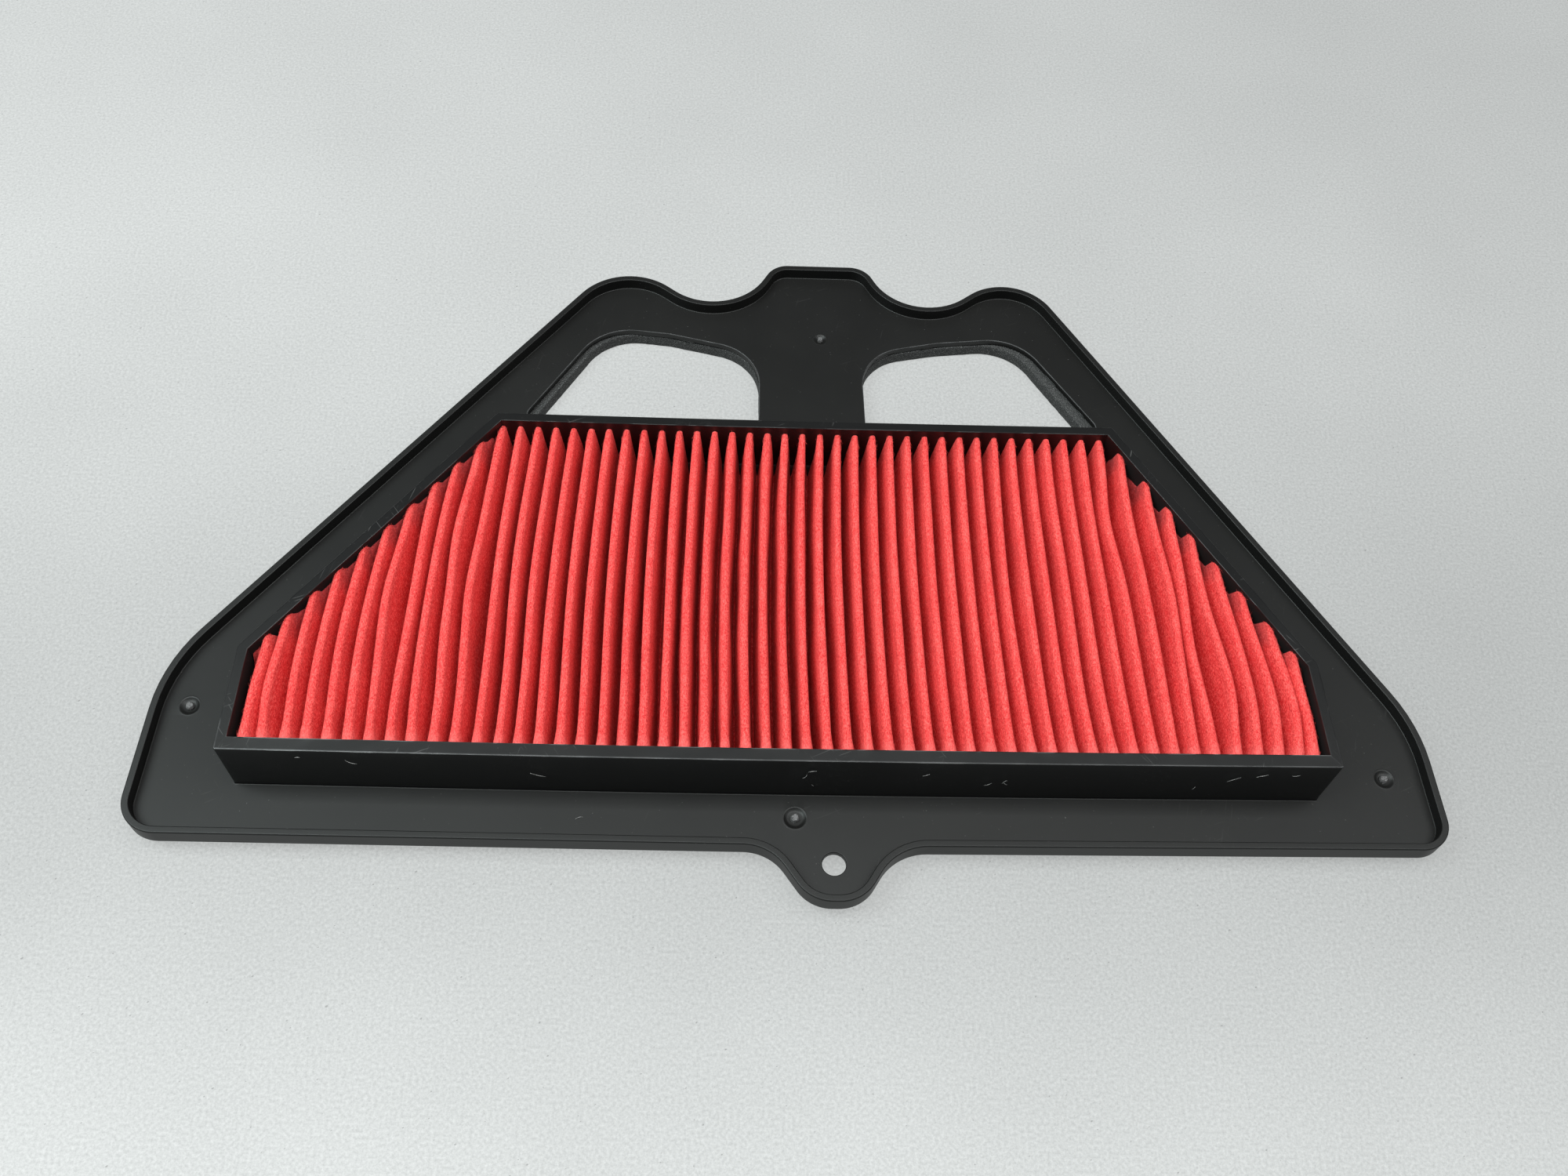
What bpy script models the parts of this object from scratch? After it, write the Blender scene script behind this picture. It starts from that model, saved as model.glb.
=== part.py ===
"""Panel air filter for a motorcycle.

A flanged tray with a turned-up rim, two windows and one bolt tab carries a raised
six-sided box. The box holds a pleated felt element, which is bonded in along the walls
and rests on a moulded grid. Closed-cell foam seals the underside.

The origin is the centre of the overall box, at the face that the foam rests on.
X runs along the straight front edge, +Y towards the hump at the back, +Z up.
"""

import math

import bmesh
import bpy

MM = 0.001

# Heights above the face that the filter rests on.
GAP = 0.3 * MM
FOAM_THICKNESS = 4.5 * MM
PLATE_THICKNESS = 2.0 * MM
PLATE_BOTTOM = FOAM_THICKNESS + GAP
FLOOR = PLATE_BOTTOM + PLATE_THICKNESS
RIM_HEIGHT = 4.1 * MM
BOX_HEIGHT = 22.1 * MM
BOX_TOP = FLOOR + BOX_HEIGHT
BOX_BOTTOM = 1.0 * MM
GRID_HEIGHT = 3.2 * MM

# The tray. Each corner is x, y and the radius that rounds it, in millimetres.
RIM_WIDTH = 2.1 * MM
FRONT_LEFT = (-188.2, -100.8, 10.8)
TAB_CORNERS = [(-7.3, -101.9, 14.1), (4.0, -118.2, 11.8), (18.6, -118.2, 11.5), (28.6, -101.9, 16.0)]
REST_OF_TRAY = [
    (188.1, -100.8, 9.0),
    (186.3, -60.9, 50.0),
    (80.6, 120.2, 18.8),
    (40.9, 89.2, 20.5),
    (26.2, 118.2, 8.9),
    (-5.9, 118.2, 8.3),
    (-21.5, 89.9, 20.6),
    (-60.2, 119.8, 21.0),
    (-185.4, -47.4, 49.0),
]
LEFT_WINDOW = [
    (-91.1, 47.5, 4.0),
    (-11.0, 47.5, 3.0),
    (-10.9, 80.9, 17.7),
    (-42.0, 88.1, 22.2),
    (-65.1, 90.5, 18.9),
]
RIGHT_WINDOW = [
    (24.9, 47.5, 3.0),
    (106.0, 47.5, 4.0),
    (79.2, 90.2, 18.8),
    (50.6, 87.0, 48.0),
    (24.2, 81.0, 16.5),
]

# The holes in the foam under the two windows, which are a little smaller.
LEFT_SEAL_HOLE = [
    (-88.2, 47.5, 4.0),
    (-11.0, 47.5, 3.0),
    (-11.0, 80.7, 18.2),
    (-42.0, 88.0, 22.2),
    (-63.4, 90.4, 18.9),
]
RIGHT_SEAL_HOLE = [
    (24.9, 47.5, 3.0),
    (101.8, 47.5, 4.0),
    (76.5, 89.6, 18.8),
    (50.6, 86.6, 48.0),
    (24.2, 80.9, 16.5),
]

# The screw hole in the tab.
BOLT_X = 11.0 * MM
BOLT_Y = -105.7 * MM
BOLT_RADIUS = 3.4 * MM
BOLT_HOLE_POINTS = 24

# Moulding gate marks in the tray floor: x, y and the radius of the dimple, in millimetres.
GATE_MARKS = [(-176.2, -59.5, 2.8), (173.6, -77.1, 2.8), (0.1, -92.0, 3.2), (10.2, 87.4, 2.1)]
GATE_DEPTH = 0.6 * MM
GATE_NUB_RADIUS = 1.1 * MM
GATE_NUB_RISE = 0.5 * MM

# The raised box: outer corners, anticlockwise from the front left, in millimetres.
BOX_CORNERS = [
    (-158.9, -83.9, 0.6),
    (152.3, -84.2, 0.6),
    (151.3, -51.0, 0.6),
    (101.2, 34.1, 0.6),
    (-93.6, 34.1, 0.6),
    (-158.2, -51.5, 0.6),
]
BOX_WALL = 3.0 * MM
FRONT_WALL = 3.9 * MM

# The pleated felt.
PLEAT_PITCH = 5.75 * MM
PLEAT_COUNT = 53
FIRST_RIDGE_X = -153.2 * MM
FELT_THICKNESS = 1.0 * MM
FOLD_RADIUS = 0.65 * MM
FOLD_POINTS = 4
FELT_TOP = BOX_TOP - 1.9 * MM
FELT_BOTTOM = BOX_BOTTOM + GRID_HEIGHT + GAP
FELT_END_CLEARANCE = 0.4 * MM

# The adhesive that bonds the felt to each wall.
BEAD_WIDTH = 1.6 * MM
BEAD_BOTTOM = FELT_BOTTOM
BEAD_TOP = FELT_BOTTOM + 6.0 * MM
BEAD_NAMES = [
    "front_bead",
    "right_side_bead",
    "right_slant_bead",
    "back_bead",
    "left_slant_bead",
    "left_side_bead",
]

# The support grid under the felt.
GRID_BORDER = 3.0 * MM
RIB_WIDTH = 1.8 * MM
LONG_RIB_Y = [-52.0 * MM, -22.0 * MM, 8.0 * MM]
CROSS_RIB_COUNT = 7
CROSS_RIB_SPACING = 38.0 * MM
CROSS_RIB_CENTRE = -3.3 * MM

# The foam seals.
EDGE_SEAL_SETBACK = 2.5 * MM
EDGE_SEAL_WIDTH = 5.5 * MM
WINDOW_SEAL_SPREAD = 4.5 * MM

ARC_STEP = math.radians(11.0)
SMALLEST_RADIUS = 0.3 * MM
CYLINDER_POINTS = 20

# How far a cutting tool reaches past what it cuts.
OVERSHOOT = 2.0 * MM
WIDEST_REACH = 200.0 * MM

COLLECTION_NAME = "air_filter"
CUTTER_COLLECTION_NAME = "cutters"


def clear_scene():
    """Remove every object that the file holds."""
    for existing in list(bpy.data.objects):
        bpy.data.objects.remove(existing, do_unlink=True)


def new_collection(name):
    """Make a collection and link it to the scene."""
    collection = bpy.data.collections.new(name)
    bpy.context.scene.collection.children.link(collection)
    return collection


def make_material(name, colour, roughness):
    """Make a Principled material of one colour."""
    material = bpy.data.materials.new(name)
    material.use_nodes = True
    shader = material.node_tree.nodes["Principled BSDF"]
    shader.inputs["Base Color"].default_value = (*colour, 1.0)
    shader.inputs["Roughness"].default_value = roughness
    shader.inputs["Metallic"].default_value = 0.0
    material.diffuse_color = (*colour, 1.0)
    return material


# Outlines


def to_metres(corners):
    """Turn corners in millimetres into corners in metres."""
    return [(x * MM, y * MM, radius * MM) for x, y, radius in corners]


def edge_normal(start, end):
    """Unit vector that points into an anticlockwise outline from one of its edges."""
    dx = end[0] - start[0]
    dy = end[1] - start[1]
    length = math.hypot(dx, dy)
    return -dy / length, dx / length


def inset(corners, distance):
    """Move every edge of an anticlockwise outline inwards, keeping its arcs concentric."""
    moved = []
    count = len(corners)
    for index in range(count):
        before = corners[index - 1]
        here = corners[index]
        after = corners[(index + 1) % count]
        ax, ay = edge_normal(before, here)
        bx, by = edge_normal(here, after)
        scale = distance / (1.0 + ax * bx + ay * by)
        turn = ax * by - ay * bx
        radius = here[2] - distance if turn > 0.0 else here[2] + distance
        x = here[0] + (ax + bx) * scale
        y = here[1] + (ay + by) * scale
        moved.append((x, y, max(radius, SMALLEST_RADIUS)))
    return moved


def rounded_outline(corners):
    """Points of a closed outline whose corners are replaced by arcs."""
    points = []
    count = len(corners)
    for index in range(count):
        before = corners[index - 1]
        x, y, radius = corners[index]
        after = corners[(index + 1) % count]
        ax, ay = edge_normal(before, (x, y))
        bx, by = edge_normal((x, y), after)
        side = 1.0 if ax * by - ay * bx > 0.0 else -1.0
        scale = side * radius / (1.0 + ax * bx + ay * by)
        centre_x = x + (ax + bx) * scale
        centre_y = y + (ay + by) * scale
        start = math.atan2(-side * ay, -side * ax)
        sweep = math.atan2(ax * by - ay * bx, ax * bx + ay * by)
        steps = max(1, math.ceil(abs(sweep) / ARC_STEP))
        for step in range(steps + 1):
            angle = start + sweep * step / steps
            points.append((centre_x + radius * math.cos(angle), centre_y + radius * math.sin(angle)))
    return points


def circle(x, y, radius, count):
    """Points of a circle."""
    angles = [2.0 * math.pi * index / count for index in range(count)]
    return [(x + radius * math.cos(angle), y + radius * math.sin(angle)) for angle in angles]


def wall_inset(distance):
    """Corners at a distance from the inner faces of the box, whose front wall is thicker."""
    inner = inset(to_metres(BOX_CORNERS), BOX_WALL)
    for index in (0, 1):
        x, y, radius = inner[index]
        inner[index] = (x, y + FRONT_WALL - BOX_WALL, radius)
    return inset(inner, distance)


# Solids


def add_curve(name, loops, depth):
    """Make a filled 2D curve from closed loops, extruded to a depth about its own plane."""
    curve = bpy.data.curves.new(name, "CURVE")
    curve.dimensions = "2D"
    curve.fill_mode = "BOTH"
    curve.extrude = depth / 2.0
    for loop in loops:
        spline = curve.splines.new("POLY")
        spline.points.add(len(loop) - 1)
        for point, (x, y) in zip(spline.points, loop):
            point.co = (x, y, 0.0, 1.0)
        spline.use_cyclic_u = True
    return bpy.data.objects.new(name, curve)


def curve_to_mesh(curve_object, collection):
    """Replace a curve object by a closed mesh object of the same name and place."""
    name = curve_object.name
    bpy.context.scene.collection.objects.link(curve_object)
    bpy.context.view_layer.update()
    evaluated = curve_object.evaluated_get(bpy.context.evaluated_depsgraph_get())
    mesh = bpy.data.meshes.new_from_object(evaluated)
    placement = curve_object.matrix_world.copy()
    curve = curve_object.data
    bpy.data.objects.remove(curve_object, do_unlink=True)
    bpy.data.curves.remove(curve)
    shape = bmesh.new()
    shape.from_mesh(mesh)
    bmesh.ops.remove_doubles(shape, verts=shape.verts, dist=0.00001)
    bmesh.ops.recalc_face_normals(shape, faces=shape.faces)
    shape.to_mesh(mesh)
    shape.free()
    solid = bpy.data.objects.new(name, mesh)
    solid.matrix_world = placement
    collection.objects.link(solid)
    return solid


def flat_solid(name, loops, bottom, top, collection):
    """Extrude a flat outline, with any holes in it, between two heights."""
    curve_object = add_curve(name, loops, top - bottom)
    curve_object.location = (0.0, 0.0, (bottom + top) / 2.0)
    return curve_to_mesh(curve_object, collection)


def add_cylinder(name, x, y, radius, bottom, top, collection):
    """Make an upright closed cylinder."""
    mesh = bpy.data.meshes.new(name)
    shape = bmesh.new()
    bmesh.ops.create_cone(
        shape, cap_ends=True, segments=CYLINDER_POINTS, radius1=radius, radius2=radius, depth=top - bottom
    )
    shape.to_mesh(mesh)
    shape.free()
    cylinder = bpy.data.objects.new(name, mesh)
    cylinder.location = (x, y, (bottom + top) / 2.0)
    collection.objects.link(cylinder)
    return cylinder


def add_block(name, low, high, collection):
    """Make a box between two corners."""
    mesh = bpy.data.meshes.new(name)
    shape = bmesh.new()
    bmesh.ops.create_cube(shape, size=1.0)
    size = [high[axis] - low[axis] for axis in range(3)]
    bmesh.ops.scale(shape, vec=size, verts=shape.verts)
    shape.to_mesh(mesh)
    shape.free()
    block = bpy.data.objects.new(name, mesh)
    block.location = [(low[axis] + high[axis]) / 2.0 for axis in range(3)]
    collection.objects.link(block)
    return block


def combine(target, tool, operation):
    """Apply a Boolean to the target at once and hide the tool as a cutter."""
    tool.hide_render = True
    tool.display_type = "WIRE"
    modifier = target.modifiers.new(operation.lower(), "BOOLEAN")
    modifier.operation = operation
    modifier.solver = "EXACT"
    modifier.object = tool
    bpy.context.view_layer.update()
    evaluated = target.evaluated_get(bpy.context.evaluated_depsgraph_get())
    result = bpy.data.meshes.new_from_object(evaluated)
    target.modifiers.clear()
    replaced = target.data
    target.data = result
    bpy.data.meshes.remove(replaced)


def set_material(solid, material):
    """Give a solid one material."""
    solid.data.materials.clear()
    solid.data.materials.append(material)


# Sub-parts


def tray_corners():
    """Corners of the tray's outline, with the bolt tab."""
    return to_metres([FRONT_LEFT] + TAB_CORNERS + REST_OF_TRAY)


def make_tray(parts, cutters, material):
    """Floor plate, turned-up rim, windows, bolt hole and gate marks."""
    outline = rounded_outline(tray_corners())
    box_hole = rounded_outline(inset(to_metres(BOX_CORNERS), -GAP))
    windows = [rounded_outline(to_metres(corners)) for corners in (LEFT_WINDOW, RIGHT_WINDOW)]
    bolt_hole = circle(BOLT_X, BOLT_Y, BOLT_RADIUS, BOLT_HOLE_POINTS)
    tray = flat_solid("flange_tray", [outline, box_hole, *windows, bolt_hole], PLATE_BOTTOM, FLOOR, parts)
    rim_inside = rounded_outline(inset(tray_corners(), RIM_WIDTH))
    rim_bottom = FLOOR - PLATE_THICKNESS / 2.0
    rim = flat_solid("rim", [outline, rim_inside], rim_bottom, FLOOR + RIM_HEIGHT, cutters)
    combine(tray, rim, "UNION")
    for index, (x, y, radius) in enumerate(to_metres(GATE_MARKS)):
        name = "gate_%d" % index
        dimple = add_cylinder(name, x, y, radius, FLOOR - GATE_DEPTH, FLOOR + OVERSHOOT, cutters)
        combine(tray, dimple, "DIFFERENCE")
        nub_bottom = FLOOR - 2.0 * GATE_DEPTH
        nub = add_cylinder(name + "_nub", x, y, GATE_NUB_RADIUS, nub_bottom, FLOOR + GATE_NUB_RISE, cutters)
        combine(tray, nub, "UNION")
    set_material(tray, material)


def make_box(parts, material):
    """Six-sided wall that stands through the tray."""
    loops = [rounded_outline(to_metres(BOX_CORNERS)), rounded_outline(wall_inset(0.0))]
    box = flat_solid("media_box", loops, BOX_BOTTOM, BOX_TOP, parts)
    set_material(box, material)


def make_grid(parts, cutters, material):
    """Border and crossed ribs that carry the felt from below."""
    top = BOX_BOTTOM + GRID_HEIGHT
    loops = [rounded_outline(wall_inset(GAP)), rounded_outline(wall_inset(GAP + GRID_BORDER))]
    grid = flat_solid("support_grid", loops, BOX_BOTTOM, top, parts)
    ribs = []
    for index, y in enumerate(LONG_RIB_Y):
        low = (-WIDEST_REACH, y - RIB_WIDTH / 2.0, BOX_BOTTOM)
        high = (WIDEST_REACH, y + RIB_WIDTH / 2.0, top)
        ribs.append(add_block("long_rib_%d" % index, low, high, cutters))
    for index in range(CROSS_RIB_COUNT):
        x = CROSS_RIB_CENTRE + (index - (CROSS_RIB_COUNT - 1) / 2.0) * CROSS_RIB_SPACING
        low = (x - RIB_WIDTH / 2.0, -WIDEST_REACH, BOX_BOTTOM)
        high = (x + RIB_WIDTH / 2.0, WIDEST_REACH, top)
        ribs.append(add_block("cross_rib_%d" % index, low, high, cutters))
    lattice = ribs[0]
    for rib in ribs[1:]:
        combine(lattice, rib, "UNION")
    inside = rounded_outline(wall_inset(GAP + GRID_BORDER / 2.0))
    limit = flat_solid("grid_limit", [inside], BOX_BOTTOM - OVERSHOOT, top + OVERSHOOT, cutters)
    combine(lattice, limit, "INTERSECT")
    combine(grid, lattice, "UNION")
    set_material(grid, material)


def felt_section():
    """Outline of the folded felt across the pleats: x and height, as one closed loop."""
    half_pitch = PLEAT_PITCH / 2.0
    outer_fold = FOLD_RADIUS + FELT_THICKNESS / 2.0
    inner_fold = FOLD_RADIUS - FELT_THICKNESS / 2.0
    top_centre = FELT_TOP - outer_fold
    bottom_centre = FELT_BOTTOM + outer_fold
    rise = top_centre - bottom_centre
    lean = math.atan2(rise, half_pitch) - math.acos(2.0 * FOLD_RADIUS / math.hypot(rise, half_pitch))

    def fold(x, z, radius, start, end):
        step = (end - start) / (FOLD_POINTS - 1)
        angles = [start + step * index for index in range(FOLD_POINTS)]
        return [(x + radius * math.cos(angle), z + radius * math.sin(angle)) for angle in angles]

    def surface(ridge_radius, valley_radius):
        points = []
        for index in range(PLEAT_COUNT):
            x = FIRST_RIDGE_X + index * PLEAT_PITCH
            points += fold(x, top_centre, ridge_radius, math.pi + lean, -lean)
            if index < PLEAT_COUNT - 1:
                valley_x = x + half_pitch
                points += fold(valley_x, bottom_centre, valley_radius, math.pi - lean, 2.0 * math.pi + lean)
        return points

    def end_point(ridge_x, ridge_radius, valley_radius, side):
        """Where an outermost flank stops, just above the adhesive; side is -1 left, 1 right."""
        top_x = ridge_radius * math.cos(lean)
        top_z = top_centre - ridge_radius * math.sin(lean)
        bottom_x = half_pitch - valley_radius * math.cos(lean)
        bottom_z = bottom_centre + valley_radius * math.sin(lean)
        stop = BEAD_TOP + GAP
        share = (top_z - stop) / (top_z - bottom_z)
        return ridge_x + side * (top_x + (bottom_x - top_x) * share), stop

    last_ridge_x = FIRST_RIDGE_X + (PLEAT_COUNT - 1) * PLEAT_PITCH
    upper = surface(outer_fold, inner_fold)
    lower = surface(inner_fold, outer_fold)
    lower.reverse()
    right_end = [
        end_point(last_ridge_x, outer_fold, inner_fold, 1.0),
        end_point(last_ridge_x, inner_fold, outer_fold, 1.0),
    ]
    left_end = [
        end_point(FIRST_RIDGE_X, inner_fold, outer_fold, -1.0),
        end_point(FIRST_RIDGE_X, outer_fold, inner_fold, -1.0),
    ]
    return upper + right_end + lower + left_end


def make_felt(parts, cutters, material):
    """Fold the felt, then trim it to the box and to the adhesive along the walls."""
    section = add_curve("pleated_media", [felt_section()], 2.0 * WIDEST_REACH)
    section.rotation_euler = (math.pi / 2.0, 0.0, 0.0)
    felt = curve_to_mesh(section, parts)
    inside = rounded_outline(wall_inset(FELT_END_CLEARANCE))
    limit = flat_solid("felt_limit", [inside], 0.0, BOX_TOP + OVERSHOOT, cutters)
    combine(felt, limit, "INTERSECT")
    beyond_wall = rounded_outline(wall_inset(-OVERSHOOT))
    past_bead = rounded_outline(wall_inset(BEAD_WIDTH + 2.0 * GAP))
    trim = flat_solid("bead_zone", [beyond_wall, past_bead], 0.0, BEAD_TOP + GAP, cutters)
    combine(felt, trim, "DIFFERENCE")
    set_material(felt, material)


def make_beads(parts, material):
    """One adhesive bead along each of the six walls, with mitred ends."""
    outer = wall_inset(GAP)
    inner = wall_inset(GAP + BEAD_WIDTH)
    for index, name in enumerate(BEAD_NAMES):
        following = (index + 1) % len(BEAD_NAMES)
        start = outer[index]
        end = outer[following]
        normal_x, normal_y = edge_normal(start, end)
        shift_x = normal_y * GAP
        shift_y = -normal_x * GAP
        loop = [
            (start[0] + shift_x, start[1] + shift_y),
            (end[0] - shift_x, end[1] - shift_y),
            (inner[following][0] - shift_x, inner[following][1] - shift_y),
            (inner[index][0] + shift_x, inner[index][1] + shift_y),
        ]
        bead = flat_solid(name, [loop], BEAD_BOTTOM, BEAD_TOP, parts)
        set_material(bead, material)


def make_foam(parts, material):
    """Foam strip round the tray's underside, and one round each window."""
    edge = to_metres([FRONT_LEFT] + REST_OF_TRAY)
    outside = rounded_outline(inset(edge, EDGE_SEAL_SETBACK))
    inside = rounded_outline(inset(edge, EDGE_SEAL_SETBACK + EDGE_SEAL_WIDTH))
    seals = [flat_solid("edge_seal", [outside, inside], 0.0, FOAM_THICKNESS, parts)]
    windows = [("left", LEFT_WINDOW, LEFT_SEAL_HOLE), ("right", RIGHT_WINDOW, RIGHT_SEAL_HOLE)]
    for side, window, hole in windows:
        inner = rounded_outline(to_metres(hole))
        outer = rounded_outline(inset(to_metres(window), -WINDOW_SEAL_SPREAD))
        seals.append(flat_solid(side + "_window_seal", [outer, inner], 0.0, FOAM_THICKNESS, parts))
    for seal in seals:
        set_material(seal, material)


def main():
    clear_scene()
    parts = new_collection(COLLECTION_NAME)
    cutters = new_collection(CUTTER_COLLECTION_NAME)
    carrier_plastic = make_material("carrier_plastic", (0.035, 0.036, 0.037), 0.55)
    box_plastic = make_material("box_plastic", (0.03, 0.03, 0.032), 0.5)
    grid_plastic = make_material("grid_plastic", (0.03, 0.03, 0.03), 0.55)
    red_felt = make_material("red_felt", (0.75, 0.06, 0.05), 0.95)
    adhesive = make_material("adhesive", (0.02, 0.02, 0.02), 0.4)
    foam = make_material("foam", (0.025, 0.025, 0.025), 0.95)
    make_tray(parts, cutters, carrier_plastic)
    make_box(parts, box_plastic)
    make_grid(parts, cutters, grid_plastic)
    make_felt(parts, cutters, red_felt)
    make_beads(parts, adhesive)
    make_foam(parts, foam)


main()
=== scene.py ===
"""Looks of the panel air filter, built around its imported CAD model.

The moulded tray and box, the folded felt, the adhesive and the foam are modelled here in
more detail than the CAD has. Their heights come from the frame's nodes. The origin is the
centre of the underside, X runs along the front edge, +Y towards the hump, +Z up.
"""

import math

import bmesh
import bpy
import numpy as np
from mathutils import Matrix, Vector


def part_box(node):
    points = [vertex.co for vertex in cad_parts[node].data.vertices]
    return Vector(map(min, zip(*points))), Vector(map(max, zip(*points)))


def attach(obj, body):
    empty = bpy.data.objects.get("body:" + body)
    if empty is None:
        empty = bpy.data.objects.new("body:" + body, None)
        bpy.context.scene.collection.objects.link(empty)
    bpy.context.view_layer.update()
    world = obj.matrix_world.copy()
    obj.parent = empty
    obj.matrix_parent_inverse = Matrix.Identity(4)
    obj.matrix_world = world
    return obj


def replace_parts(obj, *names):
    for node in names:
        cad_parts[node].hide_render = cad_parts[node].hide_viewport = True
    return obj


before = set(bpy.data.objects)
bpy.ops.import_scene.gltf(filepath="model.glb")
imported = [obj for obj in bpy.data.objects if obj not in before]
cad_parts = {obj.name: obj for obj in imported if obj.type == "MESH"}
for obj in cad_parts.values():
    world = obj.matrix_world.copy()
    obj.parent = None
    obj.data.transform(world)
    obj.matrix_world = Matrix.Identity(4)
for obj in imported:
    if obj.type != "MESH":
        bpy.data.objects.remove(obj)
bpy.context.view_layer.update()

MM = 0.001
ROOT = "root"
SEED = 41


def low(node, axis):
    """Lowest coordinate of a CAD node along an axis, in metres."""
    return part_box(node)[0][axis]


def high(node, axis):
    """Highest coordinate of a CAD node along an axis, in metres."""
    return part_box(node)[1][axis]


# Heights, from the frame.
PLATE_BOTTOM = low("flange_tray", 2)
RIM_TOP = high("flange_tray", 2)
RIM_HEIGHT = 4.1 * MM
FLOOR = RIM_TOP - RIM_HEIGHT
BOX_BOTTOM = low("media_box", 2)
BOX_TOP = high("media_box", 2)
FELT_BOTTOM = low("pleated_media", 2)
FELT_TOP = high("pleated_media", 2)
FOAM_TOP = high("edge_seal", 2)
BEAD_TOP = high("front_bead", 2)

# The tray. Each corner is x, y and the radius that rounds it, in millimetres.
RIM_WIDTH = 2.1 * MM
FRONT_LEFT = (-188.2, -100.8, 10.8)
TAB_CORNERS = [(-7.3, -101.9, 14.1), (4.0, -118.2, 11.8), (18.6, -118.2, 11.5), (28.6, -101.9, 16.0)]
REST_OF_TRAY = [
    (188.1, -100.8, 9.0), (186.3, -60.9, 50.0), (80.6, 120.2, 18.8), (40.9, 89.2, 20.5),
    (26.2, 118.2, 8.9), (-5.9, 118.2, 8.3), (-21.5, 89.9, 20.6), (-60.2, 119.8, 21.0),
    (-185.4, -47.4, 49.0),
]
LEFT_WINDOW = [
    (-91.1, 47.5, 4.0), (-11.0, 47.5, 3.0), (-10.9, 80.9, 17.7),
    (-42.0, 88.1, 22.2), (-65.1, 90.5, 18.9),
]
RIGHT_WINDOW = [
    (24.9, 47.5, 3.0), (106.0, 47.5, 4.0), (79.2, 90.2, 18.8),
    (50.6, 87.0, 48.0), (24.2, 81.0, 16.5),
]

# The holes in the foam under the two windows, which are a little smaller.
LEFT_SEAL_HOLE = [
    (-88.2, 47.5, 4.0), (-11.0, 47.5, 3.0), (-11.0, 80.7, 18.2),
    (-42.0, 88.0, 22.2), (-63.4, 90.4, 18.9),
]
RIGHT_SEAL_HOLE = [
    (24.9, 47.5, 3.0), (101.8, 47.5, 4.0), (76.5, 89.6, 18.8),
    (50.6, 86.6, 48.0), (24.2, 80.9, 16.5),
]

# The bolt hole in the tab.
BOLT_X = 11.0 * MM
BOLT_Y = -105.7 * MM
BOLT_RADIUS = 3.4 * MM
BOLT_POINTS = 48

# How the tray's edges are rounded, how ragged the windows' edges are, and how much lighter their eased
# edges are painted, partly as wear and partly as a painted highlight.
EDGE_ROUND = 0.3 * MM
RIM_ROUND = 0.45 * MM
FOOT_ROUND = 0.35 * MM
FLASH_REACH = 0.22 * MM
WINDOW_WEAR_AND_HIGHLIGHT = 0.9

# Moulding gate marks in the tray floor: x, y and the radius of the dimple, in millimetres.
GATE_MARKS = [(-176.2, -59.5, 2.8), (173.6, -77.1, 2.8), (0.1, -92.0, 3.2), (10.2, 87.4, 2.1)]
GATE_DEPTH = 0.6 * MM
GATE_LIP = 0.07 * MM
GATE_NUB_RADIUS = 1.15 * MM
GATE_NUB_RISE = 0.5 * MM
GATE_FULL_SIZE = 2.8 * MM
GATE_POINTS = 36

# The raised box: outer corners, anticlockwise from the front left, in millimetres.
BOX_CORNERS = [
    (-158.9, -83.9, 0.6), (152.3, -84.2, 0.6), (151.3, -51.0, 0.6),
    (101.2, 34.1, 0.6), (-93.6, 34.1, 0.6), (-158.2, -51.5, 0.6),
]
BOX_WALL = 3.0 * MM
FRONT_WALL = 3.9 * MM
OUTER_ROUND = 0.22 * MM
INNER_ROUND = 0.12 * MM
BOX_ARC_STEP = math.radians(30.0)
# How far the middles of the back and front walls stray along Y.
BACK_BOW = -0.4 * MM
FRONT_BOW = -0.8 * MM
# Beyond these places along Y a point of the box belongs to its back or its front wall.
BACK_BEYOND = 25.0 * MM
FRONT_BEYOND = -75.0 * MM

# The felt: ridges run along Y, closer together at the back than at the front.
RIDGE_COUNT = 53
MIDDLE_RIDGE = 26
FRONT_PITCH = 5.753 * MM
BACK_PITCH = 5.553 * MM
MIDDLE_RIDGE_X = -3.1 * MM
MIDDLE_BOW = -1.2 * MM
FELT_THICKNESS = 1.0 * MM
FOLD_RADIUS = 0.65 * MM
LEFT_BELLY = -1.5 * MM
RIGHT_BELLY = 2.5 * MM
RIGHT_TIPS = 2.0 * MM
BELLY_RIDGES = 10
VALLEY_LEAN = 1.3 * MM
SHARPEST_FOLD = 0.35 * MM
WIDEST_FOLD = 1.25 * MM
FRONT_FLARE = 0.9
FLANK_WAVE = 0.22 * MM
FELT_SLICES = 76
RIDGE_ARC = 8
VALLEY_ARC = 4
FLANK_PARTS = 5
FUZZ_COUNT = 7500
FUZZ_PARTS = 3

# Along the slanted walls the valleys rise into webs, and painted shade darkens the felt near its cut
# ends.
LEFT_WEB_DEPTH = 1.7 * MM
RIGHT_WEB_DEPTH = 4.6 * MM
WEB_REACH = 5.0 * MM
CUT_END_REACH = 6.5 * MM
FELT_CLEARANCE = 0.1 * MM
FRONT_CLEARANCE = 0.15 * MM

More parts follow.
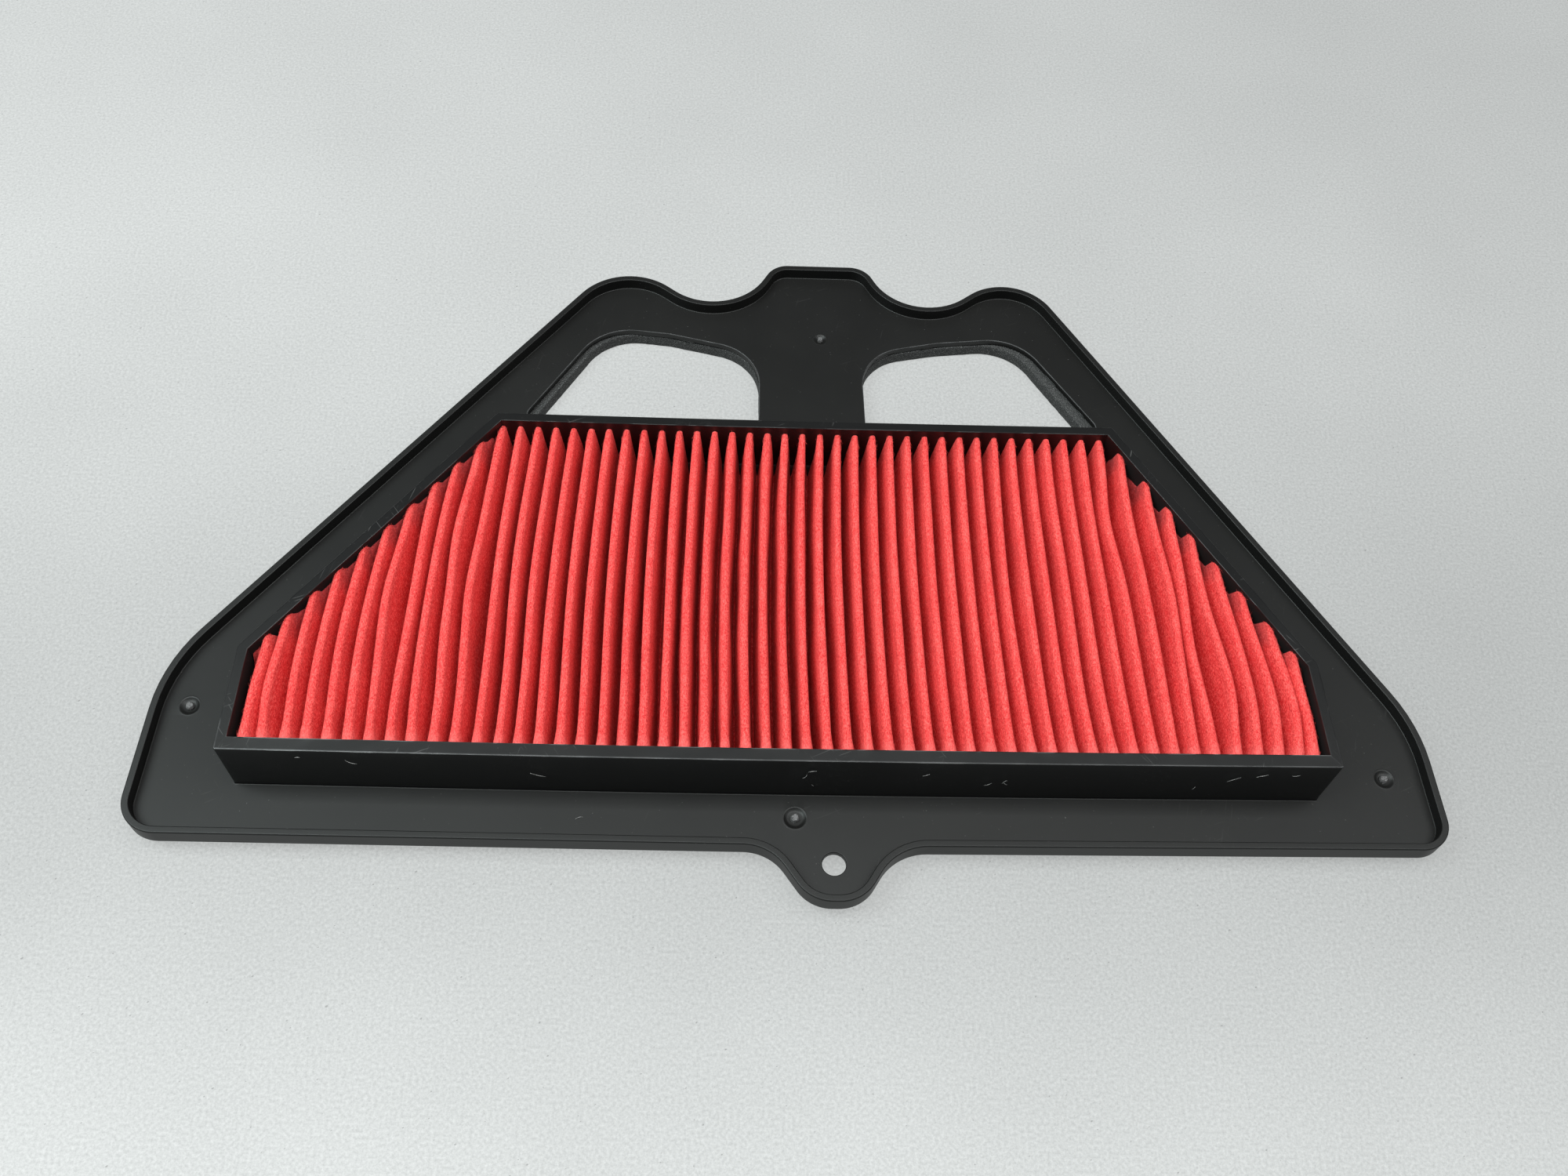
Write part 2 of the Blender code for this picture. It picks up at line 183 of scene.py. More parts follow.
# Ridges that wander from their neighbours: ridge, place along Y, reach and shift, in millimetres.
WANDERING_RIDGES = [
    (0, -50.0, 16.0, 1.2), (1, -66.0, 14.0, -1.3), (6, -30.0, 16.0, -1.1), (7, -38.0, 26.0, 1.1),
    (8, 0.0, 20.0, -0.5), (9, -64.0, 14.0, 0.8), (9, -8.0, 18.0, -1.4), (10, -64.0, 14.0, 0.6),
    (10, -28.0, 14.0, -0.8), (11, -56.0, 32.0, 0.8), (12, -58.0, 28.0, 1.0), (13, -52.0, 20.0, 0.6),
    (20, -32.0, 30.0, 0.5), (38, -30.0, 30.0, -0.7), (44, 0.0, 14.0, -1.0), (46, -26.0, 18.0, 0.9),
    (47, -46.0, 22.0, -2.2), (48, -58.0, 14.0, 0.9), (48, -28.0, 14.0, -0.8), (52, -64.0, 18.0, -2.3),
]

# Groups of ridges that stray together: middle ridge, how many either side, then as above.
SWAYING_GROUPS = [
    (18.0, 7.0, -68.0, 30.0, 0.6), (41.0, 1.5, -25.0, 30.0, 0.7),
    (44.5, 1.0, 2.0, 20.0, -1.0), (50.0, 2.5, -64.0, 20.0, 1.3),
]

# Loose hairs: x, y and z of one end in millimetres, direction in degrees, and length.
LINT = [
    (-123.6, -85.45, 26.6, -40.0, 3.6), (-74.0, -85.7, 20.6, -28.0, 4.8),
    (-137.0, -85.3, 27.2, 10.0, 1.4), (1.5, -85.75, 20.0, 65.0, 2.8),
    (3.0, -85.75, 24.0, 20.0, 2.4), (5.0, -85.75, 15.0, 120.0, 1.2),
    (35.0, -85.7, 22.6, 35.0, 2.2), (53.0, -85.6, 16.8, 40.0, 2.6),
    (58.0, -85.6, 18.0, 65.0, 2.6), (59.6, -85.6, 17.4, 130.0, 2.2),
    (113.0, -85.1, 15.0, 75.0, 2.0), (121.5, -85.0, 20.4, 42.0, 4.4),
    (129.0, -85.0, 23.6, 28.0, 3.4), (139.0, -84.8, 24.4, 15.0, 2.2),
    (159.0, -73.0, 6.95, 60.0, 4.0), (158.5, -66.0, 6.95, 95.0, 3.0),
    (-161.0, -14.0, 6.95, 30.0, 2.4), (-120.0, 12.0, 6.95, 75.0, 2.0),
    (-62.0, -93.5, 6.95, 20.0, 2.2),
]
HAIR_RADIUS = 0.06 * MM
HAIR_PARTS = 8
# Hairs that start lower than this lie on the tray; the others cling to the front wall.
LYING_BELOW = 8.0

ARC_STEP = math.radians(5.0)
SMALLEST_RADIUS = 0.1 * MM


# Outlines


def to_metres(corners):
    """Turn corners in millimetres into corners in metres."""
    return [(x * MM, y * MM, radius * MM) for x, y, radius in corners]


def edge_normal(start, end):
    """Unit vector that points into an anticlockwise outline from one of its edges."""
    dx = end[0] - start[0]
    dy = end[1] - start[1]
    length = math.hypot(dx, dy)
    return -dy / length, dx / length


def corner_normals(corners, index):
    """Normals of the edges before and after a corner."""
    here = corners[index]
    following = corners[(index + 1) % len(corners)]
    return *edge_normal(corners[index - 1], here), *edge_normal(here, following)


def inset(corners, distance):
    """Move every edge of an anticlockwise outline inwards, keeping its arcs concentric."""
    moved = []
    for index, (x, y, radius) in enumerate(corners):
        ax, ay, bx, by = corner_normals(corners, index)
        scale = distance / (1.0 + ax * bx + ay * by)
        radius += -distance if ax * by - ay * bx > 0.0 else distance
        moved.append((x + (ax + bx) * scale, y + (ay + by) * scale, max(radius, SMALLEST_RADIUS)))
    return moved


def rounded_outline(corners, arc_step=ARC_STEP):
    """Points of a closed outline whose corners are replaced by arcs."""
    points = []
    for index, (x, y, radius) in enumerate(corners):
        ax, ay, bx, by = corner_normals(corners, index)
        side = 1.0 if ax * by - ay * bx > 0.0 else -1.0
        scale = side * radius / (1.0 + ax * bx + ay * by)
        centre_x = x + (ax + bx) * scale
        centre_y = y + (ay + by) * scale
        start = math.atan2(-side * ay, -side * ax)
        sweep = math.atan2(ax * by - ay * bx, ax * bx + ay * by)
        steps = max(2, math.ceil(abs(sweep) / arc_step))
        for step in range(steps + 1):
            angle = start + sweep * step / steps
            points.append((centre_x + radius * math.cos(angle), centre_y + radius * math.sin(angle)))
    return points


def circle(x, y, radius, count):
    """Points of a circle."""
    angles = [2.0 * math.pi * index / count for index in range(count)]
    return [(x + radius * math.cos(angle), y + radius * math.sin(angle)) for angle in angles]


def wall_inset(distance):
    """Corners at a distance from the inner faces of the box, whose front wall is thicker."""
    inner = inset(to_metres(BOX_CORNERS), BOX_WALL)
    for index in (0, 1):
        x, y, radius = inner[index]
        inner[index] = (x, y + FRONT_WALL - BOX_WALL, radius)
    return inset(inner, distance)


def divided(loops, step):
    """Add points along the straight stretches of matching loops, the same number to each."""
    count = len(loops[0])
    parts = []
    for index, start in enumerate(loops[0]):
        end = Vector(loops[0][(index + 1) % count])
        parts.append(max(1, round((end - Vector(start)).length / step)))
    result = []
    for loop in loops:
        points = []
        for index in range(count):
            start = Vector(loop[index])
            end = Vector(loop[(index + 1) % count])
            points += [start.lerp(end, part / parts[index]) for part in range(parts[index])]
        result.append(points)
    return result


def at_height(loop, z):
    """Lift 2D points to a height."""
    return [(point[0], point[1], z) for point in loop]


# Meshes


def add_loop(shape, points):
    """Add a closed ring of vertices."""
    return [shape.verts.new(point) for point in points]


def bridge(shape, first, second):
    """Join two rings of the same number of vertices with quads."""
    for a, b, c, d in zip(first, first[1:] + first[:1], second[1:] + second[:1], second):
        shape.faces.new((a, b, c, d))


def loft(shape, loops):
    """Add rings of points and join each to the next. Returns the first and the last ring."""
    rings = [add_loop(shape, loop) for loop in loops]
    for first, second in zip(rings, rings[1:]):
        bridge(shape, first, second)
    return rings[0], rings[-1]


def capped_loft(shape, loops):
    """A loft whose two ends are closed."""
    for ring in loft(shape, loops):
        shape.faces.new(ring)


def ring_edges(shape, ring):
    """Edges of a closed ring of vertices."""
    edges = []
    for ends in zip(ring, ring[1:] + ring[:1]):
        edges.append(shape.edges.get(ends) or shape.edges.new(ends))
    return edges


def fill_between(shape, rings):
    """Fill the flat area bounded by an outer ring and any holes in it."""
    edges = []
    for ring in rings:
        edges += ring_edges(shape, ring)
    bmesh.ops.triangle_fill(shape, use_beauty=True, use_dissolve=False, edges=edges)


def add_object(name, data):
    """Add an object to the scene."""
    added = bpy.data.objects.new(name, data)
    bpy.context.scene.collection.objects.link(added)
    return added


def add_piece(name, mesh, material, sharp_angle=40.0):
    """Make a piece of the object from a mesh, with smooth shading between its sharp edges."""
    mesh.materials.append(material)
    mesh.polygons.foreach_set("use_smooth", [True] * len(mesh.polygons))
    mesh.set_sharp_from_angle(angle=math.radians(sharp_angle))
    piece = add_object(name, mesh)
    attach(piece, ROOT)
    return piece


def store_values(mesh, name, values):
    """Store a value at each point of a mesh, for its material to read."""
    attribute = mesh.attributes.new(name, "FLOAT", "POINT")
    attribute.data.foreach_set("value", values.astype(np.float32))


def piece_from(name, shape, material, sharp_angle=40.0):
    """Turn a bmesh into a piece, with its normals outwards and flat faces kept flat."""
    bmesh.ops.recalc_face_normals(shape, faces=shape.faces)
    mesh = bpy.data.meshes.new(name)
    shape.to_mesh(mesh)
    shape.free()
    piece = add_piece(name, mesh, material, sharp_angle)
    weighted = piece.modifiers.new("flat faces stay flat", "WEIGHTED_NORMAL")
    weighted.keep_sharp = True
    return piece


# Materials


class Nodes:
    """Short calls for building a material's node tree."""

    def __init__(self, name):
        self.material = bpy.data.materials.new(name)
        self.material.use_nodes = True
        self.tree = self.material.node_tree
        self.shader = self.tree.nodes["Principled BSDF"]
        self.place = self.tree.nodes.new("ShaderNodeTexCoord").outputs["Object"]

    def add(self, kind, inputs=(), **settings):
        """Add a node with some settings, and feed its inputs, given by name or number."""
        node = self.tree.nodes.new(kind)
        for name, value in settings.items():
            setattr(node, name, value)
        for name, value in dict(inputs).items():
            self.feed(value, node.inputs[name])
        return node

    def link(self, output, target):
        self.tree.links.new(output, target)

    def stretched(self, scale, turn=0.0):
        """Object coordinates that stretch a texture by a factor along each axis, turned about Z."""
        inputs = {"Scale": scale, "Rotation": (0.0, 0.0, turn), "Vector": self.place}
        return self.add("ShaderNodeMapping", inputs, vector_type="TEXTURE").outputs["Vector"]

    def noise(self, size, detail=2.0, roughness=0.5, coordinates=None):
        """Noise whose features have about that size in metres."""
        inputs = {"Scale": 1.0 / size, "Detail": detail, "Roughness": roughness}
        inputs["Vector"] = coordinates or self.place
        return self.add("ShaderNodeTexNoise", inputs).outputs["Fac"]

    def ramp(self, factor, *stops, interpolation="LINEAR"):
        """Colour ramp through (position, value or colour) stops."""
        node = self.add("ShaderNodeValToRGB")
        node.color_ramp.interpolation = interpolation
        elements = node.color_ramp.elements
        while len(elements) < len(stops):
            elements.new(0.5)
        for element, (position, value) in zip(elements, stops):
            element.position = position
            colour = (value, value, value) if isinstance(value, float) else value
            element.color = (*colour, 1.0)
        self.link(factor, node.inputs["Fac"])
        return node.outputs["Color"]

    def mix(self, factor, first, second, blend="MIX"):
        """Mix two colours; each input is a socket, a number or a colour."""
        inputs = {0: factor, 6: first, 7: second}
        return self.add("ShaderNodeMix", inputs, data_type="RGBA", blend_type=blend).outputs[2]

    def math(self, operation, first, second=0.0):
        """A Math node on two inputs."""
        return self.add("ShaderNodeMath", {0: first, 1: second}, operation=operation).outputs[0]

    def times(self, first, second):
        """The product of two values."""
        return self.math("MULTIPLY", first, second)

    def feed(self, value, target):
        """Link a socket to an input, or set the input to a number, vector or colour."""
        if isinstance(value, bpy.types.NodeSocket):
            self.link(value, target)
        elif isinstance(value, tuple):
            target.default_value = (*value, 1.0)[: len(target.default_value)]
        else:
            target.default_value = value

    def span(self, factor, lowest, highest):
        """Map 0 to 1 onto another range."""
        inputs = {"To Min": lowest, "To Max": highest, "Value": factor}
        return self.add("ShaderNodeMapRange", inputs).outputs["Result"]

    def bump(self, height, distance, strength=1.0):
        """Raise the surface by a height map; distance is in metres."""
        inputs = {"Strength": strength, "Distance": distance, "Height": height}
        self.set("Normal", self.add("ShaderNodeBump", inputs).outputs["Normal"])

    def set(self, name, value):
        """Feed one input of the Principled shader."""
        self.feed(value, self.shader.inputs[name])

    def attribute(self, name):
        """A value that the mesh stores at its points."""
        return self.add("ShaderNodeAttribute", attribute_name=name).outputs["Fac"]


def plastic(name, colour, roughness, scuffs, specular=0.5):
    """Moulded black plastic: fine grain, uneven gloss, hairline scuffs, dust, edges painted lighter
    partly as wear and partly as a painted highlight, and painted shade on inner faces.
    """
    nodes = Nodes(name)
    clouds = nodes.noise(35.0 * MM, 3.0, 0.6)
    grain = nodes.noise(0.35 * MM, 2.0, 0.6)
    lighter = tuple(1.3 * part for part in colour)
    base = nodes.mix(nodes.ramp(clouds, (0.35, 0.0), (0.7, 1.0)), colour, lighter)
    marks = None
    for turn, size in ((0.4, 0.5), (2.2, 0.4), (1.3, 0.6)):
        lines = nodes.noise(size * MM, 1.0, 0.4, nodes.stretched((16.0, 1.0, 1.0), turn))
        hit = nodes.ramp(lines, (0.72, 0.0), (0.76, 1.0))
        marks = nodes.mix(1.0, marks, hit, "ADD") if marks else hit
    handled = nodes.ramp(nodes.noise(22.0 * MM, 1.0), (0.5, 0.0), (0.65, 1.0))
    worn = nodes.times(nodes.times(marks, handled), scuffs)
    base = nodes.mix(worn, base, (0.16, 0.16, 0.155))
    # Lighter edges in patches: partly real wear and partly a painted highlight along the eased edges.
    rubbed = nodes.attribute("rubbed")
    patchy = nodes.ramp(nodes.noise(7.0 * MM, 3.0, 0.6), (0.35, 0.25), (0.65, 1.0))
    base = nodes.mix(nodes.times(rubbed, patchy), base, (0.085, 0.087, 0.088))
    # Painted shade: inner faces are made darker, and rougher, so the felt's red light on them stays
    # faint.
    inside = nodes.attribute("inside")
    base = nodes.mix(inside, base, (0.001, 0.001, 0.001))
    dust = nodes.ramp(nodes.noise(0.5 * MM, 0.0), (0.86, 0.0), (0.90, 1.0))
    base = nodes.mix(nodes.times(dust, 0.2), base, (0.3, 0.3, 0.29))
    nodes.set("Base Color", base)
    gloss = nodes.span(clouds, roughness - 0.05, roughness + 0.05)
    gloss = nodes.math("ADD", gloss, nodes.times(worn, 0.2))
    nodes.set("Roughness", nodes.math("ADD", gloss, nodes.times(inside, 0.5)))
    nodes.set("Specular IOR Level", specular)
    nodes.set("Specular Tint", (0.96, 1.0, 0.99))
    nodes.bump(nodes.mix(0.25, grain, clouds), 0.012 * MM, 0.6)
    return nodes.material


def felt_material():
    """Red needled felt: painted highlight on the folds and front ends, painted shade deep in the pleats
    and near the cut ends, cloudy fibres.
    """
    nodes = Nodes("red felt")
    depth = nodes.attribute("pleat_height")
    cut = nodes.attribute("cut_end")
    # Painted light: lighter and paler at the fold tops as a painted highlight, darker deep in the pleats
    # as painted shade.
    colour = nodes.ramp(
        depth,
        (0.0, (0.62, 0.012, 0.020)),
        (0.50, (0.77, 0.023, 0.030)),
        (0.88, (0.84, 0.043, 0.044)),
        (0.985, (0.89, 0.110, 0.098)),
    )
    cloud = nodes.noise(1.1 * MM, 4.0, 0.7)
    patches = nodes.noise(9.0 * MM, 2.0, 0.5)
    fibres = nodes.noise(0.30 * MM, 3.0, 0.75, nodes.stretched((1.0, 2.5, 1.0)))
    for pattern, start, end, tint in (
        (cloud, (0.42, 0.0), (0.60, 0.75), (0.99, 0.135, 0.12)),
        (patches, (0.35, 0.25), (0.65, 0.0), (0.72, 0.016, 0.022)),
        (fibres, (0.38, 0.9), (0.54, 0.0), (0.60, 0.020, 0.026)),
        (fibres, (0.54, 0.0), (0.64, 0.6), (1.0, 0.21, 0.19)),
    ):
        colour = nodes.mix(nodes.ramp(pattern, start, end), colour, tint)
    # Painted sheen: the felt is paler and lighter within 5 mm of its front ends.
    front_sheen = nodes.attribute("front_end")
    colour = nodes.mix(nodes.times(front_sheen, 0.45), colour, (0.86, 0.20, 0.185))
    # Painted shade near the cut ends, broken up by the cloud noise.
    ragged = nodes.times(cut, nodes.ramp(cloud, (0.3, 1.0), (0.65, 0.55)))
    colour = nodes.mix(ragged, colour, (0.20, 0.042, 0.045))
    nodes.set("Base Color", colour)
    nodes.set("Roughness", nodes.span(cloud, 0.85, 1.0))
    nodes.set("Specular IOR Level", 0.04)
    nodes.set("Sheen Weight", 0.12)
    nodes.set("Sheen Roughness", 0.5)
    nodes.set("Sheen Tint", (1.0, 0.5, 0.45))
    nodes.bump(nodes.mix(0.5, cloud, fibres), 0.4 * MM, 1.0)
    return nodes.material


def foam_material():
    """Black closed-cell foam: pores and pale specks."""
    nodes = Nodes("black foam")
    cells = {"Scale": 1.0 / (0.45 * MM), "Vector": nodes.place}
    pores = nodes.add("ShaderNodeTexVoronoi", cells).outputs["Distance"]
    speck = nodes.noise(0.30 * MM, 2.0, 0.7)
    open_pores = nodes.ramp(pores, (0.15, 0.0), (0.6, 1.0))
    base = nodes.mix(open_pores, (0.010, 0.011, 0.011), (0.035, 0.037, 0.036))
    base = nodes.mix(nodes.ramp(speck, (0.57, 0.0), (0.68, 0.7)), base, (0.27, 0.275, 0.27))
    nodes.set("Base Color", base)
    nodes.set("Roughness", nodes.span(speck, 0.8, 1.0))
    nodes.bump(pores, 0.15 * MM, 0.9)
    return nodes.material


def adhesive_material():
    """Black hot-melt adhesive, smooth and lumpy."""
    nodes = Nodes("black adhesive")
    lumps = nodes.noise(2.5 * MM, 2.0, 0.5)
    nodes.set("Base Color", nodes.mix(lumps, (0.008, 0.008, 0.009), (0.018, 0.018, 0.018)))
    nodes.set("Roughness", nodes.span(lumps, 0.25, 0.5))
    nodes.bump(lumps, 0.3 * MM, 0.6)
    return nodes.material


def pale_material(name, colour, roughness):
    """Pale stressed plastic or lint: mottled and matt."""
    nodes = Nodes(name)
    mottle = nodes.noise(0.4 * MM, 3.0, 0.6)
    dark = tuple(0.35 * part for part in colour)
    nodes.set("Base Color", nodes.mix(nodes.ramp(mottle, (0.3, 0.0), (0.7, 1.0)), dark, colour))
    nodes.set("Roughness", nodes.span(mottle, roughness - 0.1, roughness + 0.1))
    nodes.bump(mottle, 0.1 * MM, 0.8)
    return nodes.material


def paper_material():
    """Pale grey paper: soft mottling, fine tooth and a few dark fibres.

    Most of its brightness is its own glow, so that shadows on it stay faint. Painted shade
    makes it a little darker to the right and towards the back, and a painted shadow darkens
    a band beside the front of the filter.
    """
    nodes = Nodes("pale paper")
    axes = nodes.add("ShaderNodeSeparateXYZ", {"Vector": nodes.place})
    # Painted light and shade along Y: lighter near the front edge, a painted shadow in a band beside the
    # front of the filter, darker towards the back.
    from_front = nodes.times(nodes.math("ADD", axes.outputs["Y"], 0.22), 2.0)
    stops = [(0.00, 0.640), (0.10, 0.600), (0.26, 0.450), (0.42, 0.465), (0.62, 0.545), (0.85, 0.510)]
    light = nodes.ramp(from_front, *stops, interpolation="B_SPLINE")
    # Painted falloff: darker to the right.
    sideways = nodes.math("MINIMUM", nodes.math("MAXIMUM", axes.outputs["X"], -0.3), 0.3)
    fall = nodes.math("SUBTRACT", 1.0, nodes.times(sideways, 0.36))
    light = nodes.times(light, fall)
    cloud = nodes.noise(90.0 * MM, 2.0, 0.5)
    tooth = nodes.noise(0.9 * MM, 4.0, 0.75)
    fleck = nodes.noise(0.8 * MM, 0.0, 0.5, nodes.stretched((1.6, 1.0, 1.0), 0.6))
    tone = nodes.times(light, nodes.span(cloud, 0.93, 1.07))
    tone = nodes.times(tone, nodes.span(tooth, 0.58, 1.42))
    base = nodes.mix(1.0, tone, (0.983, 1.012, 1.0), "MULTIPLY")
    base = nodes.mix(nodes.ramp(fleck, (0.83, 0.0), (0.87, 0.5)), base, (0.2, 0.2, 0.2))
    nodes.set("Base Color", nodes.mix(1.0, base, (PAPER_ALBEDO,) * 3, "MULTIPLY"))
    nodes.set("Roughness", nodes.span(tooth, 0.7, 0.9))
    nodes.set("Specular IOR Level", 0.1)
    nodes.set("Emission Color", base)
    nodes.set("Emission Strength", PAPER_GLOW)
    nodes.bump(tooth, 0.05 * MM, 0.5)
    return nodes.material


# Sub-parts


def quarter(centre_d, centre_z, radius, start, end, steps=4):
    """Points (distance, height) on an arc of a section, angles in degrees."""
    points = []
    for step in range(steps + 1):
        angle = math.radians(start + (end - start) * step / steps)
        points.append((centre_d + radius * math.cos(angle), centre_z + radius * math.sin(angle)))
    return points


def eased_top_edge():
    """Section of an edge where the tray's floor turns down into an opening."""
    return quarter(EDGE_ROUND, FLOOR - EDGE_ROUND, EDGE_ROUND, 90.0, 180.0)


def eased_base_edge():
    """Section of an edge where a wall turns under the tray."""
    return quarter(EDGE_ROUND, PLATE_BOTTOM + EDGE_ROUND, EDGE_ROUND, 180.0, 270.0)


def make_tray(material, random):
    """Floor plate with its turned-up rim, windows, bolt hole and gate dimples."""
    shape = bmesh.new()
    shape.verts.layers.float.new("rubbed")
    corners = to_metres([FRONT_LEFT] + TAB_CORNERS + REST_OF_TRAY)
    section = quarter(RIM_WIDTH + FOOT_ROUND, FLOOR + FOOT_ROUND, FOOT_ROUND, 270.0, 180.0)
    section += quarter(RIM_WIDTH - EDGE_ROUND, RIM_TOP - EDGE_ROUND, EDGE_ROUND, 0.0, 90.0)
    section += quarter(RIM_ROUND, RIM_TOP - RIM_ROUND, RIM_ROUND, 90.0, 180.0, 8)
    section += eased_base_edge()
    loops = [at_height(rounded_outline(inset(corners, d)), z) for d, z in section]
    floor_edge, base_edge = loft(shape, loops)
    openings = [box_opening(shape)]
    for window in (LEFT_WINDOW, RIGHT_WINDOW):
        openings.append(window_opening(shape, to_metres(window), random))
    openings.append(bolt_opening(shape))
    dimples = [gate_dimple(shape, x, y, radius) for x, y, radius in to_metres(GATE_MARKS)]
    fill_between(shape, [floor_edge] + [top for top, _ in openings] + dimples)
    fill_between(shape, [base_edge] + [base for _, base in openings])
    tray = piece_from("tray", shape, material)
    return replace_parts(tray, "flange_tray")


def box_opening(shape):
    """Edge of the tray where the box comes through, with a small fillet at its foot."""
    corners = to_metres(BOX_CORNERS)
    section = [(FOOT_ROUND, FLOOR), (0.4 * FOOT_ROUND, FLOOR + 0.12 * FOOT_ROUND)]
    section += [(0.12 * FOOT_ROUND, FLOOR + 0.4 * FOOT_ROUND), (0.0, FLOOR + FOOT_ROUND)]
    section += [(0.0, PLATE_BOTTOM)]
    flat = divided([rounded_outline(inset(corners, -d)) for d, _ in section], 6.0 * MM)
    rings = []
    for loop, (_, z) in zip(flat, section):
        rings.append([(point[0], point[1] + wall_bow(point[0], point[1]), z) for point in loop])
    return loft(shape, rings)


def window_opening(shape, corners, random):
    """Wall of a window: eased upper edge and a ragged line of flash along its lower edge."""
    section = eased_top_edge()
    section += [(0.0, PLATE_BOTTOM + lift) for lift in (0.25 * MM, 0.12 * MM, 0.0)]
    loops = divided([rounded_outline(inset(corners, -d)) for d, _ in section], 1.2 * MM)
    rings = [at_height(loop, z) for loop, (_, z) in zip(loops, section)]
    rings[-2] = ragged(rings[-2], FLASH_REACH, random)
    rubbed = shape.verts.layers.float["rubbed"]
    before = len(shape.verts)
    ends = loft(shape, rings)
    shape.verts.ensure_lookup_table()
    # The rings of the eased edge that lie between the floor and the window's wall are painted lighter,
    # partly as wear and partly as a painted highlight.
    for vertex in shape.verts[before + len(rings[0]) : before + 4 * len(rings[0])]:
        vertex[rubbed] = WINDOW_WEAR_AND_HIGHLIGHT
    return ends


def swell_at(index, waves, slowest, step):
    """Sum of sine waves at a place along a run, each a step quicker than the one before it."""
    return sum(math.sin(index * (slowest + step * order) + wave) for order, wave in enumerate(waves))


def ragged(points, reach, random):
    """Push points of a ring sideways, into the opening, by uneven amounts."""
    count = len(points)
    waves = random.uniform(0.0, 2.0 * math.pi, 4)
    result = []
    for index, point in enumerate(points):
        before = points[index - 1]
        after = points[(index + 1) % count]
        nx, ny = edge_normal(before, after)
        swell = swell_at(index, waves, 0.11, 0.13)
        push = reach * max(0.0, 0.15 + 0.3 * swell + random.uniform(-0.25, 0.25))
        result.append((point[0] + nx * push, point[1] + ny * push, point[2]))
    return result


def bolt_opening(shape):
    """Screw hole in the tab."""
    section = eased_top_edge() + eased_base_edge()
    loops = [at_height(circle(BOLT_X, BOLT_Y, BOLT_RADIUS + d, BOLT_POINTS), z) for d, z in section]
    return loft(shape, loops)


def gate_dimple(shape, x, y, radius):
    """Round dimple with a faint raised lip, closed at its centre. Returns its outer ring."""
    section = [(radius + 0.7 * MM, 0.0), (radius + 0.35 * MM, GATE_LIP), (radius + 0.1 * MM, GATE_LIP)]
    section += [(radius - 0.15 * MM, -0.1 * MM), (radius - 0.7 * MM, -0.8 * GATE_DEPTH)]
    section += [(radius - 1.1 * MM, -GATE_DEPTH), (0.3 * MM, -GATE_DEPTH)]
    loops = [at_height(circle(x, y, size, GATE_POINTS), FLOOR + lift) for size, lift in section]
    outer, last = loft(shape, loops)
    shape.faces.new(last)
    return outer


def make_gate_scars(material, random):
    """Broken stubs of the sprues, one in each dimple."""
    shape = bmesh.new()
    for x, y, radius in to_metres(GATE_MARKS):
        size = GATE_NUB_RADIUS * min(1.0, radius / GATE_FULL_SIZE)
        levels = [(1.1, -GATE_DEPTH), (1.05, -0.2 * MM), (1.0, 0.15 * MM)]
        levels += [(0.8, GATE_NUB_RISE), (0.35, GATE_NUB_RISE)]
        rings = []
        for share, lift in levels:
            points = []
            for px, py in circle(x, y, size * share, GATE_POINTS // 2):
                dx, dy, dz = random.uniform(-0.13, 0.13, 3) * MM
                points.append((px + dx, py + dy, FLOOR + lift + (dz if lift > 0.0 else 0.0)))
            rings.append(points)
        capped_loft(shape, rings)
    return piece_from("gate_scars", shape, material, 30.0)


